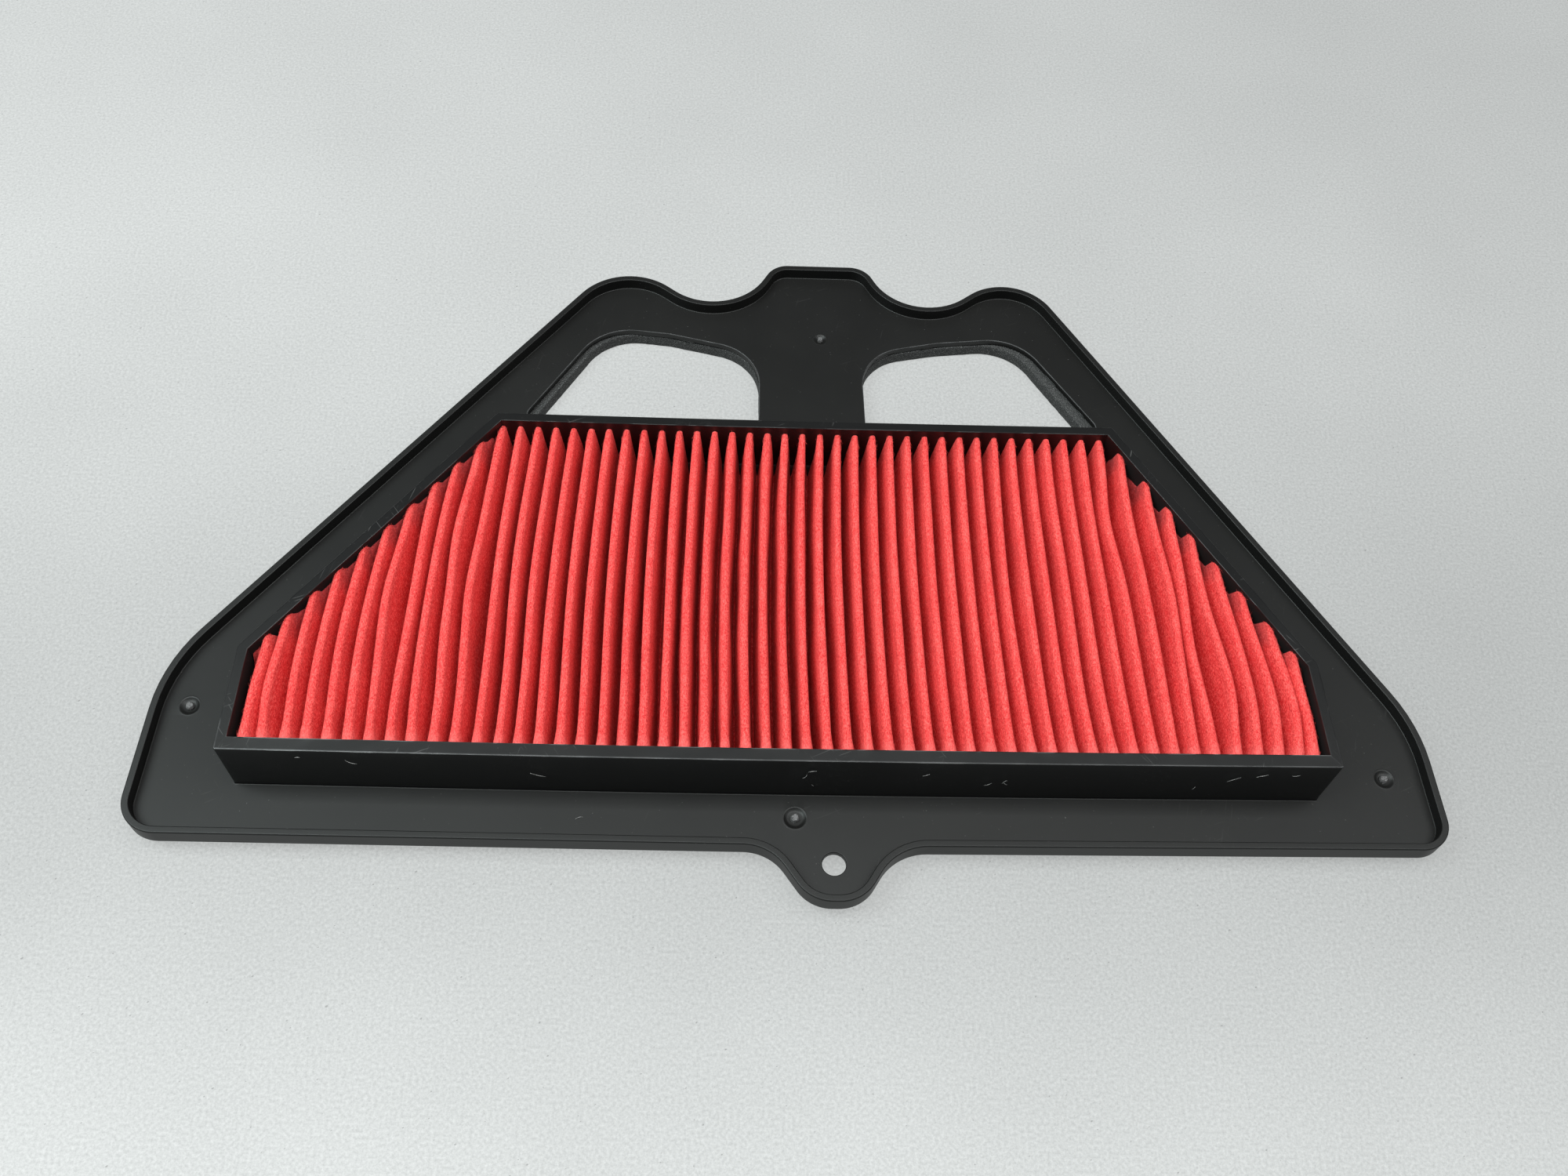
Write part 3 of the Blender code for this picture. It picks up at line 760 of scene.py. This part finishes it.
def make_box(material, random):
    """Six-sided wall with eased, slightly worn edges and a thin burr along its inner edge. Those edges
    are painted lighter, partly as wear and partly as a painted highlight, and the inner faces get painted
    shade.
    """
    outside = [(0.0, BOX_BOTTOM + EDGE_ROUND), (0.0, BOX_TOP - 3.0 * OUTER_ROUND)]
    outside += quarter(OUTER_ROUND, BOX_TOP - OUTER_ROUND, OUTER_ROUND, 180.0, 90.0, 3)
    outside += [(2.5 * OUTER_ROUND, BOX_TOP)]
    inside = [(-3.0 * INNER_ROUND, BOX_TOP)]
    inside += quarter(-INNER_ROUND, BOX_TOP - INNER_ROUND, INNER_ROUND, 90.0, 0.0, 3)
    inside += [(0.0, BOX_TOP - 3.0 * INNER_ROUND), (0.0, BOX_BOTTOM + EDGE_ROUND)]
    inside += [(-EDGE_ROUND, BOX_BOTTOM)]
    corners = to_metres(BOX_CORNERS)
    outlines = [inset(corners, d) for d, _ in outside] + [wall_inset(d) for d, _ in inside]
    outlines.append(inset(corners, EDGE_ROUND))
    loops = divided([rounded_outline(outline, BOX_ARC_STEP) for outline in outlines], 1.3 * MM)
    count = len(loops[0])
    burr_row = len(outside) + 1
    wear_row = len(outside) - 2
    wear_and_highlight_rows = {wear_row: 1.0, wear_row - 1: 0.7, burr_row: 0.8, burr_row + 1: 0.5}
    heights = [z for _, z in outside + inside] + [BOX_BOTTOM]
    heights = np.repeat(np.array(heights)[:, None], count, axis=1)
    heights[burr_row] += uneven(count, random, 0.10 * MM)
    heights[wear_row - 1 : wear_row + 1] -= uneven(count, random, 0.07 * MM)
    bow = [wall_bow(point[0], point[1]) for point in loops[burr_row]]
    rings = []
    for loop, row in zip(loops, heights):
        rings.append([(point[0], point[1] + shift, z) for point, shift, z in zip(loop, bow, row)])
    shape = bmesh.new()
    first, last = loft(shape, rings)
    bridge(shape, last, first)
    rubbed = shape.verts.layers.float.new("rubbed")
    inside_wall = shape.verts.layers.float.new("inside")
    shape.verts.ensure_lookup_table()
    # The top edges and the burr are painted lighter, partly as wear and partly as a painted highlight.
    for row, amount in wear_and_highlight_rows.items():
        for vertex in shape.verts[row * count : (row + 1) * count]:
            vertex[rubbed] = amount * wear_and_highlight_at(vertex.co.x, vertex.co.y, row >= burr_row)
    # Painted shade on the wall's inner faces, weaker on the back wall.
    inside_end = (len(outside) + len(inside)) * count
    for vertex in shape.verts[inside_end - 3 * count : inside_end]:
        vertex[inside_wall] = 0.25 if vertex.co.y > BACK_BEYOND else 1.0
    box = piece_from("media_box_wall", shape, material, 50.0)
    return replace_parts(box, "media_box")


def wear_and_highlight_at(x, y, inner):
    """How much lighter the box's top edge is painted at a place, partly as wear and partly as a painted
    highlight: most at the left of its front wall.
    """
    if y > FRONT_BEYOND:
        return 0.4 if inner else 0.0
    return 1.0 - 0.7 * float(np.clip((x + 110.0 * MM) / (160.0 * MM), 0.0, 1.0))


def wall_bow(x, y):
    """How far the front and back walls bow towards the front at their middles, along Y."""
    if y > BACK_BEYOND:
        return float(back_bow(x))
    if y < FRONT_BEYOND:
        return float(front_bow(x))
    return 0.0


def uneven(count, random, reach):
    """A run of small uneven amounts from 0 to about reach, with a few deeper spots."""
    waves = random.uniform(0.0, 2.0 * math.pi, 5)
    values = []
    for index in range(count):
        swell = swell_at(index, waves, 0.05, 0.09)
        value = 0.35 + 0.14 * swell + random.uniform(-0.3, 0.3)
        if random.uniform() < 0.02:
            value += 1.0
        values.append(reach * max(0.0, value))
    return values


# The felt


def fading(distance, reach):
    """1 where a distance is zero, falling evenly to 0 at its reach."""
    return np.clip(1.0 - distance / reach, 0.0, 1.0)


def bell(distance, reach):
    """1 where a distance is zero, falling smoothly to about a third at its reach."""
    return np.exp(-((distance / reach) ** 2))


def line_at(x, start, end):
    """Y of the straight line through two corners, at a place along X."""
    return start[1] + (x - start[0]) * (end[1] - start[1]) / (end[0] - start[0])


def slanted_end(x):
    """Where the felt stops along Y at a place along X, just short of the back and slanted walls."""
    right, back_right, back_left, left = wall_inset(FELT_CLEARANCE)[2:]
    slants = np.minimum(line_at(x, right, back_right), line_at(x, left, back_left))
    return np.minimum(back_right[1] + back_bow(x), slants)


def back_end():
    """Where the felt stops along Y at the back wall, apart from that wall's bow."""
    return wall_inset(FELT_CLEARANCE)[3][1]


def bow_between(x, left, right, reach):
    """A smooth bow along X that is zero at both ends."""
    share = np.clip((x - left * MM) / ((right - left) * MM), 0.0, 1.0)
    return reach * np.sin(np.pi * share)


def back_bow(x):
    """The bow of the back wall, which the felt follows."""
    return bow_between(x, BOX_CORNERS[4][0], BOX_CORNERS[3][0], BACK_BOW)


def front_bow(x):
    """The bow of the front wall, which the felt follows."""
    return bow_between(x, BOX_CORNERS[0][0], BOX_CORNERS[1][0], FRONT_BOW)


def front_end(x):
    """Where the felt starts along Y at a place along X, just inside the front wall."""
    return line_at(x, *wall_inset(FRONT_CLEARANCE)[:2]) + front_bow(x)


def ridge_lines(along, random):
    """X of each ridge top at places along Y, from 0 at the front wall to 1 at the back wall.

    Returns arrays of ridge by slice: x and y.
    """
    front = wall_inset(FRONT_CLEARANCE)[0][1]
    back = back_end()
    number = np.arange(RIDGE_COUNT)[:, None]
    share = along[None, :]
    y = front + share * (back - front)
    x = np.zeros((RIDGE_COUNT, len(along)))
    at_left = np.clip((BELLY_RIDGES + 1 - number) / 3.0, 0.0, 1.0) * np.clip((number + 1) / 6.0, 0.0, 1.0)
    at_right = np.clip((number - (RIDGE_COUNT - 1 - BELLY_RIDGES)) / 4.0, 0.0, 1.0)
    # The end of each ridge depends on where it meets a slanted wall, so settle it in a few rounds.
    for _ in range(4):
        reach = (y - front) / (back - front)
        pitch = FRONT_PITCH + (BACK_PITCH - FRONT_PITCH) * reach
        bow = MIDDLE_BOW * (1.0 - (2.0 * reach - 1.0) ** 2)
        x = MIDDLE_RIDGE_X + bow + (number - MIDDLE_RIDGE) * pitch + RIGHT_TIPS * at_right**2 * share**2
        end = slanted_end(x[:, -1:])
        # Ridges run a little way along a slanted wall before they are cut off by it.
        end = end + np.minimum(2.0 * MM, back - end)
        start = front_end(x[:, :1])
        y = start + share * (end - start)
    x = x + (at_left * LEFT_BELLY + at_right * RIGHT_BELLY) * np.sin(np.pi * share**0.85)
    for ridge, place, reach, shift in WANDERING_RIDGES:
        x[ridge] += shift * MM * bell(y[ridge] - place * MM, reach * MM)
    for middle, spread, place, reach, shift in SWAYING_GROUPS:
        x = x + bell(number - middle, spread) * shift * MM * bell(y - place * MM, reach * MM)
    common = smooth_noise(random, (RIDGE_COUNT, len(along)), 5, 22)
    own = smooth_noise(random, (RIDGE_COUNT, len(along)), 1, 20)
    fade = np.minimum(1.0, (1.0 - share) * 4.0) * np.minimum(1.0, 0.3 + share * 4.0)
    x = x + (0.17 * common + 0.07 * own) * MM * fade
    return x, y


def smooth_noise(random, size, across, run):
    """Random values of about unit size, smoothed over some rows and columns."""
    values = random.standard_normal((size[0] + 8 * across, size[1] + 8 * run))
    for axis, width in ((0, across), (1, run)):
        if width > 1:
            reach = np.arange(-2 * width, 2 * width + 1)
            kernel = np.exp(-0.5 * (reach / (0.6 * width)) ** 2)
            kernel /= math.sqrt((kernel**2).sum())
            values = np.apply_along_axis(lambda line: np.convolve(line, kernel, "same"), axis, values)
    return values[4 * across : 4 * across + size[0], 4 * run : 4 * run + size[1]]


def fold_lean(ridge_x, valley_x, ridge_z, valley_z, radius):
    """Angle of the straight flank from upright, between the arcs of a ridge and a valley."""
    across = np.abs(valley_x - ridge_x)
    rise = ridge_z - valley_z
    return np.arctan2(rise, across) - np.arccos(np.clip(2.0 * radius / np.hypot(rise, across), -1.0, 1.0))


def fold_shapes(ridge_y, along, random):
    """Radius of each ridge's fold and the height of its top, by ridge and slice."""
    ridges, slices = ridge_y.shape
    to_end = (1.0 - along)[None, :] * (ridge_y[:, -1:] - ridge_y[:, :1])
    from_start = ridge_y - ridge_y[:, :1]
    # 1 for a ridge that ends at a slanted wall and 0 for one that ends at the back wall.
    slanted = np.clip((slanted_end(np.zeros(1))[0] - ridge_y[:, -1:]) / (8.0 * MM), 0.0, 1.0)
    droop = (0.3 + 0.5 * slanted) * MM * fading(to_end, 2.5 * MM) ** 2
    droop = droop - 1.5 * MM * slanted * fading(to_end, 12.0 * MM) ** 2
    pinch = 1.0 - (0.45 + 0.05 * slanted) * fading(to_end, 5.0 * MM + 2.0 * MM * slanted)
    pinch = pinch * (1.0 + FRONT_FLARE * fading(from_start, 7.0 * MM) ** 1.5)
    widen = 1.0 + 0.3 * np.abs(np.arange(ridges)[:, None] - MIDDLE_RIDGE) / MIDDLE_RIDGE
    fold = FOLD_RADIUS * (widen + 0.09 * smooth_noise(random, (ridges, slices), 1, 12)) * pinch
    lift = smooth_noise(random, (ridges, slices), 2, 14)
    return np.clip(fold, SHARPEST_FOLD, WIDEST_FOLD), FELT_TOP - 0.25 * MM + 0.12 * MM * lift - droop


def valley_lines(ridge_x, along):
    """X of each valley, midway between the undisturbed lines of the ridges on either side."""
    middle = 0.5 * (ridge_x[1:] + ridge_x[:-1])
    valleys = len(middle)
    weights = np.exp(-0.5 * (np.arange(-3, 4) / 1.4) ** 2)
    weights /= weights.sum()
    drift = np.arange(-3, valleys + 3)[:, None] * FRONT_PITCH
    flat = np.pad(middle, ((3, 3), (0, 0)), "edge") - drift
    even = sum(weight * flat[index : index + valleys] for index, weight in enumerate(weights))
    # Towards the sides the pleats lean outwards, so their inner flanks are less steep.
    number = np.arange(valleys)[:, None] + 0.5
    outwards = 1.0 - number / MIDDLE_RIDGE
    # They lean further over at the front left, and over most of the right half.
    forward = 1.0 - 0.65 * along[None, :]
    outwards = outwards + 1.3 * forward * np.clip((12.0 - number) / 7.0, 0.0, 1.0)
    outwards = outwards - 1.6 * forward * np.clip((number - 27.0) / 7.0, 0.0, 1.0)
    return even + drift[3 : 3 + valleys] + VALLEY_LEAN * np.maximum(outwards, -2.0)


def fold_arc(x, y, z, radius, start, end, count):
    """Columns of points round a fold, whose centre, radius and angles vary from slice to slice."""
    angles = [start + (end - start) * step / count for step in range(count + 1)]
    return [(x + radius * np.cos(angle), y, z + radius * np.sin(angle)) for angle in angles]


def flank(start, end, wave):
    """Columns of points between two folds, slightly wavy."""
    columns = []
    for part in range(1, FLANK_PARTS):
        share = part / FLANK_PARTS
        x, y, z = (first + (last - first) * share for first, last in zip(start, end))
        columns.append((x + FLANK_WAVE * wave * math.sin(math.pi * share), y, z))
    return columns


def felt_surfaces(along, random):
    """Upper and lower surfaces of the folded felt, as grids of points of slice by column."""
    ridge_x, ridge_y = ridge_lines(along, random)
    ridges, slices = ridge_x.shape
    fold, ridge_top = fold_shapes(ridge_y, along, random)
    half = FELT_THICKNESS / 2.0
    ridge_z = ridge_top - fold - half
    valley_x = valley_lines(ridge_x, along)
    valley_y = 0.5 * (ridge_y[1:] + ridge_y[:-1])
    # Valleys rest on the grid below. The felt's two edges stand there as well.
    valley_z = FELT_BOTTOM + FOLD_RADIUS + half
    edge_z = np.full(slices, FELT_BOTTOM + half)
    left_x = np.concatenate([ridge_x[:1] - 0.5 * FRONT_PITCH, valley_x])
    right_x = np.concatenate([valley_x, ridge_x[-1:] + 0.5 * FRONT_PITCH])
    mean_radius = 0.5 * (fold + FOLD_RADIUS)
    lean_left = fold_lean(ridge_x, left_x, ridge_z, valley_z, mean_radius)
    lean_right = fold_lean(ridge_x, right_x, ridge_z, valley_z, mean_radius)
    wave = smooth_noise(random, (2 * ridges, slices), 1, 7)
    surfaces = []
    for side in (half, -half):
        folds = [[(left_x[0] - side, ridge_y[0], edge_z)]]
        for index in range(ridges):
            if index > 0:
                centre = (valley_x[index - 1], valley_y[index - 1], valley_z)
                start, end = math.pi - lean_right[index - 1], 2.0 * math.pi + lean_left[index]
                folds.append(fold_arc(*centre, FOLD_RADIUS - side, start, end, VALLEY_ARC))
            centre = (ridge_x[index], ridge_y[index], ridge_z[index])
            start, end = math.pi + lean_left[index], -lean_right[index]
            folds.append(fold_arc(*centre, fold[index] + side, start, end, RIDGE_ARC))
        folds.append([(right_x[-1] + side, ridge_y[-1], edge_z)])
        columns = []
        for index, points in enumerate(folds):
            if index > 0:
                columns += flank(columns[-1], points[0], wave[index - 1])
            columns += points
        surfaces.append(np.array(columns).transpose(2, 0, 1))
    return surfaces


def trim_to_walls(points):
    """Keep the felt's edge columns inside the side and slanted walls."""
    corners = wall_inset(FELT_CLEARANCE)
    x, y = points[..., 0], points[..., 1]
    end = slanted_end(x)
    front = front_end(x)
    points[..., 1] = np.clip(y, front, np.maximum(end, front))
    points[..., 0] = np.clip(x, corners[0][0], corners[1][0])
    return points


def lift_cut_ends(points, thickness):
    """Raise the pleats' valleys where the felt meets a slanted wall, like a web between the ridges."""
    end = slanted_end(points[..., 0])
    slanted = np.clip((back_end() - 0.6 * MM - end) / (3.0 * MM), 0.0, 1.0)
    near = fading(end - points[..., 1], WEB_REACH)
    depth = np.where(points[..., 0] < 0.0, LEFT_WEB_DEPTH, RIGHT_WEB_DEPTH) + thickness
    target = np.maximum(points[..., 2], FELT_TOP - depth)
    points[..., 2] += slanted * near * near * (3.0 - 2.0 * near) * (target - points[..., 2])
    return points


def cut_end_shade(vertices):
    """How much painted shade darkens the felt near its cut ends along the slanted walls, most deep down,
    from 0 to 1.
    """
    end = slanted_end(vertices[:, 0])
    slanted = np.clip((back_end() - end) / (3.0 * MM), 0.0, 1.0)
    near = fading(end - vertices[:, 1], CUT_END_REACH)
    below = np.clip((FELT_TOP - vertices[:, 2]) / (1.3 * MM), 0.2, 1.0)
    deep = np.where(vertices[:, 0] < 0.0, 0.9, 1.0)
    return deep * slanted * near**0.6 * below


def make_felt(material, random):
    """The folded felt as one closed mesh, with a height attribute that its colour follows for the painted
    highlight on the fold tops and the painted shade deep in the pleats.
    """
    along = np.linspace(0.0, 1.0, FELT_SLICES)
    along = 0.5 * along + 0.5 * (0.5 - 0.5 * np.cos(np.pi * along))
    upper, lower = felt_surfaces(along, random)
    upper = lift_cut_ends(trim_to_walls(upper), 0.0)
    lower = lift_cut_ends(trim_to_walls(lower), FELT_THICKNESS)
    slices, count = upper.shape[:2]
    vertices = np.concatenate([upper.reshape(-1, 3), lower.reshape(-1, 3)])
    shift = slices * count
    index = np.arange(shift).reshape(slices, count)
    a, b = index[:-1, :-1], index[:-1, 1:]
    c, d = index[1:, 1:], index[1:, :-1]
    top = np.stack([a, b, c, d], -1).reshape(-1, 4)
    under = np.stack([d, c, b, a], -1).reshape(-1, 4) + shift
    faces = [top, under]
    for edge, flip in ((index[0], False), (index[-1], True), (index[:, 0], True), (index[:, -1], False)):
        strip = np.stack([edge[:-1], edge[:-1] + shift, edge[1:] + shift, edge[1:]], -1)
        faces.append(strip[:, ::-1] if flip else strip)
    mesh = bpy.data.meshes.new("felt_pleats")
    mesh.from_pydata(vertices.tolist(), [], np.concatenate(faces).tolist())
    mesh.update()
    height = np.clip((vertices[:, 2] - FELT_BOTTOM) / (FELT_TOP - FELT_BOTTOM), 0.0, 1.0)
    # The height drives the painted highlight on the fold tops and the painted shade deep in the pleats.
    store_values(mesh, "pleat_height", height)
    # front_end drives the painted sheen at the felt's front ends.
    store_values(mesh, "front_end", fading(vertices[:, 1] - front_end(vertices[:, 0]), 5.0 * MM))
    # cut_end drives the painted shade near the felt's cut ends.
    store_values(mesh, "cut_end", cut_end_shade(vertices))
    felt = add_piece("felt_pleats", mesh, material, 75.0)
    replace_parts(felt, "pleated_media")
    return upper


def make_fuzz(upper, material, random):
    """Short loose fibres that stand off the felt, mostly from the tops of the folds."""
    slices, width = upper.shape[:2]
    vertices, faces = [], []
    while len(vertices) < 3 * (FUZZ_PARTS + 1) * FUZZ_COUNT:
        row = int(random.integers(1, slices - 2))
        if random.uniform() < 0.12:
            row = slices - 3 - int(random.integers(0, 5))
        column = int(random.integers(1, width - 2))
        base = Vector(upper[row, column])
        depth = (FELT_TOP - base.z) / (FELT_TOP - FELT_BOTTOM)
        if depth > 0.02 + 0.6 * random.uniform() ** 3:
            continue
        tangent = Vector(upper[row, column + 1]) - Vector(upper[row, column - 1])
        forward = Vector(upper[row + 1, column]) - Vector(upper[row - 1, column])
        normal = tangent.cross(forward)
        if normal.length < 1e-12:
            continue
        normal.normalize()
        forward.normalize()
        side = normal.cross(forward)
        turn = random.uniform(0.0, 2.0 * math.pi)
        heading = forward * math.cos(turn) + side * 0.45 * math.sin(turn)
        length = random.uniform(0.6, 2.3) * MM
        lift = random.uniform(0.05, 0.45) * MM
        curl = side * random.uniform(-0.35, 0.35) * MM
        radius = random.uniform(0.028, 0.045) * MM
        offset = len(vertices)
        for step in range(FUZZ_PARTS + 1):
            share = step / FUZZ_PARTS
            centre = base + heading * length * share + curl * share * share
            centre += normal * (lift * math.sin(0.5 * math.pi * share))
            thin = radius * (1.0 - 0.6 * share)
            vertices += [centre + normal * thin, centre - normal * 0.5 * thin + side * 0.87 * thin]
            vertices.append(centre - normal * 0.5 * thin - side * 0.87 * thin)
        end = offset + 3 * FUZZ_PARTS
        for ring in range(offset, end, 3):
            for a, b in ((ring, ring + 1), (ring + 1, ring + 2), (ring + 2, ring)):
                faces.append((a, b, b + 3, a + 3))
        faces += [(offset + 2, offset + 1, offset), (end, end + 1, end + 2)]
    mesh = bpy.data.meshes.new("felt_fuzz")
    mesh.from_pydata(vertices, [], faces)
    mesh.update()
    # The fibres take the colour of the fold tops, with its painted highlight.
    store_values(mesh, "pleat_height", np.ones(len(vertices)))
    add_piece("felt_fuzz", mesh, material, 180.0)


def make_lint(material, random):
    """Loose hairs: some cling to the front of the box, a few lie on the tray."""
    shape = bmesh.new()
    for x, y, z, heading, length in LINT:
        along, across, off = Vector((1.0, 0.0, 0.0)), Vector((0.0, 0.0, 1.0)), Vector((0.0, -1.0, 0.0))
        if z < LYING_BELOW:
            across, off = Vector((0.0, 1.0, 0.0)), Vector((0.0, 0.0, 1.0))
        turn = math.radians(heading)
        forward = along * math.cos(turn) + across * math.sin(turn)
        side = across * math.cos(turn) - along * math.sin(turn)
        curl = random.uniform(-0.35, 0.35)
        start = Vector((x, y, z)) * MM + off * HAIR_RADIUS
        rings = []
        for step in range(HAIR_PARTS + 1):
            share = step / HAIR_PARTS
            bend = side * curl * length * MM * share * (1.0 - share) * 2.0
            centre = start + forward * length * MM * share + bend
            size = HAIR_RADIUS * (1.0 - 0.5 * abs(2.0 * share - 1.0))
            spokes = [side * cosine + off * sine for cosine, sine in circle(0.0, 0.0, 1.0, 4)]
            rings.append([centre + spoke * size for spoke in spokes])
        capped_loft(shape, rings)
    return piece_from("lint", shape, material, 180.0)


# Adhesive and foam

BEADS = [
    "front_bead", "right_side_bead", "right_slant_bead",
    "back_bead", "left_slant_bead", "left_side_bead",
]
BEAD_WIDTH = 1.6 * MM
FOAM_EDGE_INSET = 2.5 * MM
FOAM_EDGE_WIDTH = 5.5 * MM
WINDOW_FOAM_REACH = 4.5 * MM


def make_beads(material, random):
    """Lumpy runs of adhesive in the corner between the felt and each wall."""
    outer = wall_inset(0.0)
    inner = wall_inset(BEAD_WIDTH)
    bottom = low("front_bead", 2)
    for index, name in enumerate(BEADS):
        following = (index + 1) % len(BEADS)
        start, end = Vector(outer[index][:2]), Vector(outer[following][:2])
        inner_start, inner_end = Vector(inner[index][:2]), Vector(inner[following][:2])
        steps = max(6, round((end - start).length / (2.5 * MM)))
        swell = uneven(steps + 1, random, 1.3 * MM)
        rings = []
        for step in range(steps + 1):
            share = step / steps
            wall = start.lerp(end, share)
            edge = inner_start.lerp(inner_end, share)
            bow = Vector((0.0, wall_bow(wall.x, wall.y)))
            wall, edge = wall + bow, edge + bow
            top = BEAD_TOP - 1.2 * MM + swell[step]
            levels = [(0.0, bottom), (0.0, top), (0.45, top - 0.5 * MM), (0.85, top - 2.0 * MM)]
            levels += [(1.0, bottom + 1.2 * MM), (1.0, bottom)]
            rings.append([(*wall.lerp(edge, part), z) for part, z in levels])
        shape = bmesh.new()
        capped_loft(shape, rings)
        bead = piece_from("adhesive_" + name.replace("_bead", ""), shape, material, 60.0)
        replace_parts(bead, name)


def make_foam_ring(name, node, outer_corners, inner_corners, material, random):
    """Ring of foam with soft edges and an uneven cut face."""
    soft = 0.35 * MM
    outline = [(soft, 0.0), (0.0, soft), (0.0, 0.33 * FOAM_TOP), (0.0, 0.66 * FOAM_TOP)]
    outline += [(0.0, FOAM_TOP - soft), (soft, FOAM_TOP)]
    rings = []
    outer_loops = [rounded_outline(inset(outer_corners, d)) for d, _ in outline]
    inner_loops = [rounded_outline(inset(inner_corners, -d)) for d, _ in outline]
    for loops, levels in ((outer_loops, outline), (inner_loops[::-1], outline[::-1])):
        dense = divided(loops, 1.6 * MM)
        for loop, (_, z) in zip(dense, levels):
            jolts = random.uniform(-0.06, 0.06, (len(loop), 2)) * MM
            rings.append([(point[0] + dx, point[1] + dy, z) for point, (dx, dy) in zip(loop, jolts)])
    levels = len(outline)
    shape = bmesh.new()
    outer_first, outer_last = loft(shape, rings[:levels])
    inner_first, inner_last = loft(shape, rings[levels:])
    fill_between(shape, [outer_last, inner_first])
    fill_between(shape, [outer_first, inner_last])
    foam = piece_from(name, shape, material, 60.0)
    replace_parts(foam, node)


def make_foam(material, random):
    """Foam strip round the tray's underside, and one round each window."""
    edge = to_metres([FRONT_LEFT] + REST_OF_TRAY)
    outer = inset(edge, FOAM_EDGE_INSET)
    inner = inset(outer, FOAM_EDGE_WIDTH)
    make_foam_ring("foam_edge", "edge_seal", outer, inner, material, random)
    windows = [("left", LEFT_WINDOW, LEFT_SEAL_HOLE), ("right", RIGHT_WINDOW, RIGHT_SEAL_HOLE)]
    for side, window, hole in windows:
        outer = inset(to_metres(window), -WINDOW_FOAM_REACH)
        names = ("foam_%s_window" % side, "%s_window_seal" % side)
        make_foam_ring(*names, outer, to_metres(hole), material, random)


def dress_grid(material):
    """The CAD grid keeps its shape; its edges are eased and it gets a material."""
    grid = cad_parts["support_grid"]
    grid.data.materials.clear()
    grid.data.materials.append(material)
    bevel = grid.modifiers.new("eased edges", "BEVEL")
    bevel.width = 0.25 * MM
    bevel.segments = 2
    bevel.limit_method = "ANGLE"


# Surroundings

PAPER_ALBEDO = 0.2
PAPER_GLOW = 0.92
PAPER_SIZE = 3.0
FOCAL_LENGTH = 34.54
SENSOR_WIDTH = 36.0
VIEWPOINT = (-20.79 * MM, -263.80 * MM, 403.50 * MM)
VIEW_TURN = (0.56, -0.0433, -0.0034)


def make_paper():
    """Plain pale floor that the filter lies on."""
    shape = bmesh.new()
    bmesh.ops.create_grid(shape, x_segments=8, y_segments=8, size=PAPER_SIZE / 2.0)
    mesh = bpy.data.meshes.new("paper")
    shape.to_mesh(mesh)
    shape.free()
    mesh.materials.append(paper_material())
    paper = add_object("paper", mesh)


def add_softbox(name, place, target, width, depth, power, colour=(1.0, 1.0, 1.0)):
    """Large area light aimed at a point, its width level and along X."""
    light = bpy.data.lights.new(name, "AREA")
    light.shape = "RECTANGLE"
    light.size = width
    light.size_y = depth
    light.energy = power
    light.color = colour
    softbox = add_object(name, light)
    softbox.location = place
    backwards = (Vector(place) - Vector(target)).normalized()
    upwards = backwards.cross(Vector((1.0, 0.0, 0.0))).normalized()
    sideways = upwards.cross(backwards)
    softbox.rotation_euler = Matrix((sideways, upwards, backwards)).transposed().to_euler()


def light_scene():
    """A long soft light overhead, a smaller one on its left, and a dim surround."""
    world = bpy.data.worlds.new("surround")
    world.use_nodes = True
    background = world.node_tree.nodes["Background"]
    background.inputs["Color"].default_value = (0.93, 0.97, 1.0, 1.0)
    background.inputs["Strength"].default_value = 0.2
    bpy.context.scene.world = world
    add_softbox("overhead", (-0.05, -0.1, 1.1), (-0.05, -0.05, 0.0), 2.2, 0.6, 19.5)
    add_softbox("left", (-0.75, -0.1, 1.0), (-0.2, -0.05, 0.0), 0.7, 0.6, 7.0, (0.85, 1.0, 1.0))


def add_camera():
    """Camera above the front edge, looking down at the filter."""
    camera = bpy.data.cameras.new("camera")
    camera.lens = FOCAL_LENGTH
    camera.sensor_width = SENSOR_WIDTH
    viewer = add_object("camera", camera)
    viewer.location = VIEWPOINT
    viewer.rotation_euler = VIEW_TURN
    bpy.context.scene.camera = viewer


def main():
    random = np.random.default_rng(SEED)
    tray_plastic = plastic("tray plastic", (0.0052, 0.0050, 0.0046), 0.46, 0.06, 0.36)
    wall_plastic = plastic("box plastic", (0.0050, 0.0048, 0.0048), 0.33, 0.3, 0.42)
    grid_plastic = plastic("grid plastic", (0.012, 0.012, 0.012), 0.5, 0.05)
    felt = felt_material()
    foam = foam_material()
    adhesive = adhesive_material()
    scar = pale_material("broken plastic", (0.16, 0.16, 0.16), 0.5)
    hair = pale_material("pale lint", (0.62, 0.62, 0.60), 0.8)
    make_tray(tray_plastic, random)
    make_gate_scars(scar, random)
    make_box(wall_plastic, random)
    upper = make_felt(felt, random)
    make_fuzz(upper, felt, random)
    make_lint(hair, random)
    make_beads(adhesive, random)
    make_foam(foam, random)
    dress_grid(grid_plastic)
    make_paper()
    light_scene()
    add_camera()
    bpy.context.scene.view_settings.view_transform = "Standard"


main()
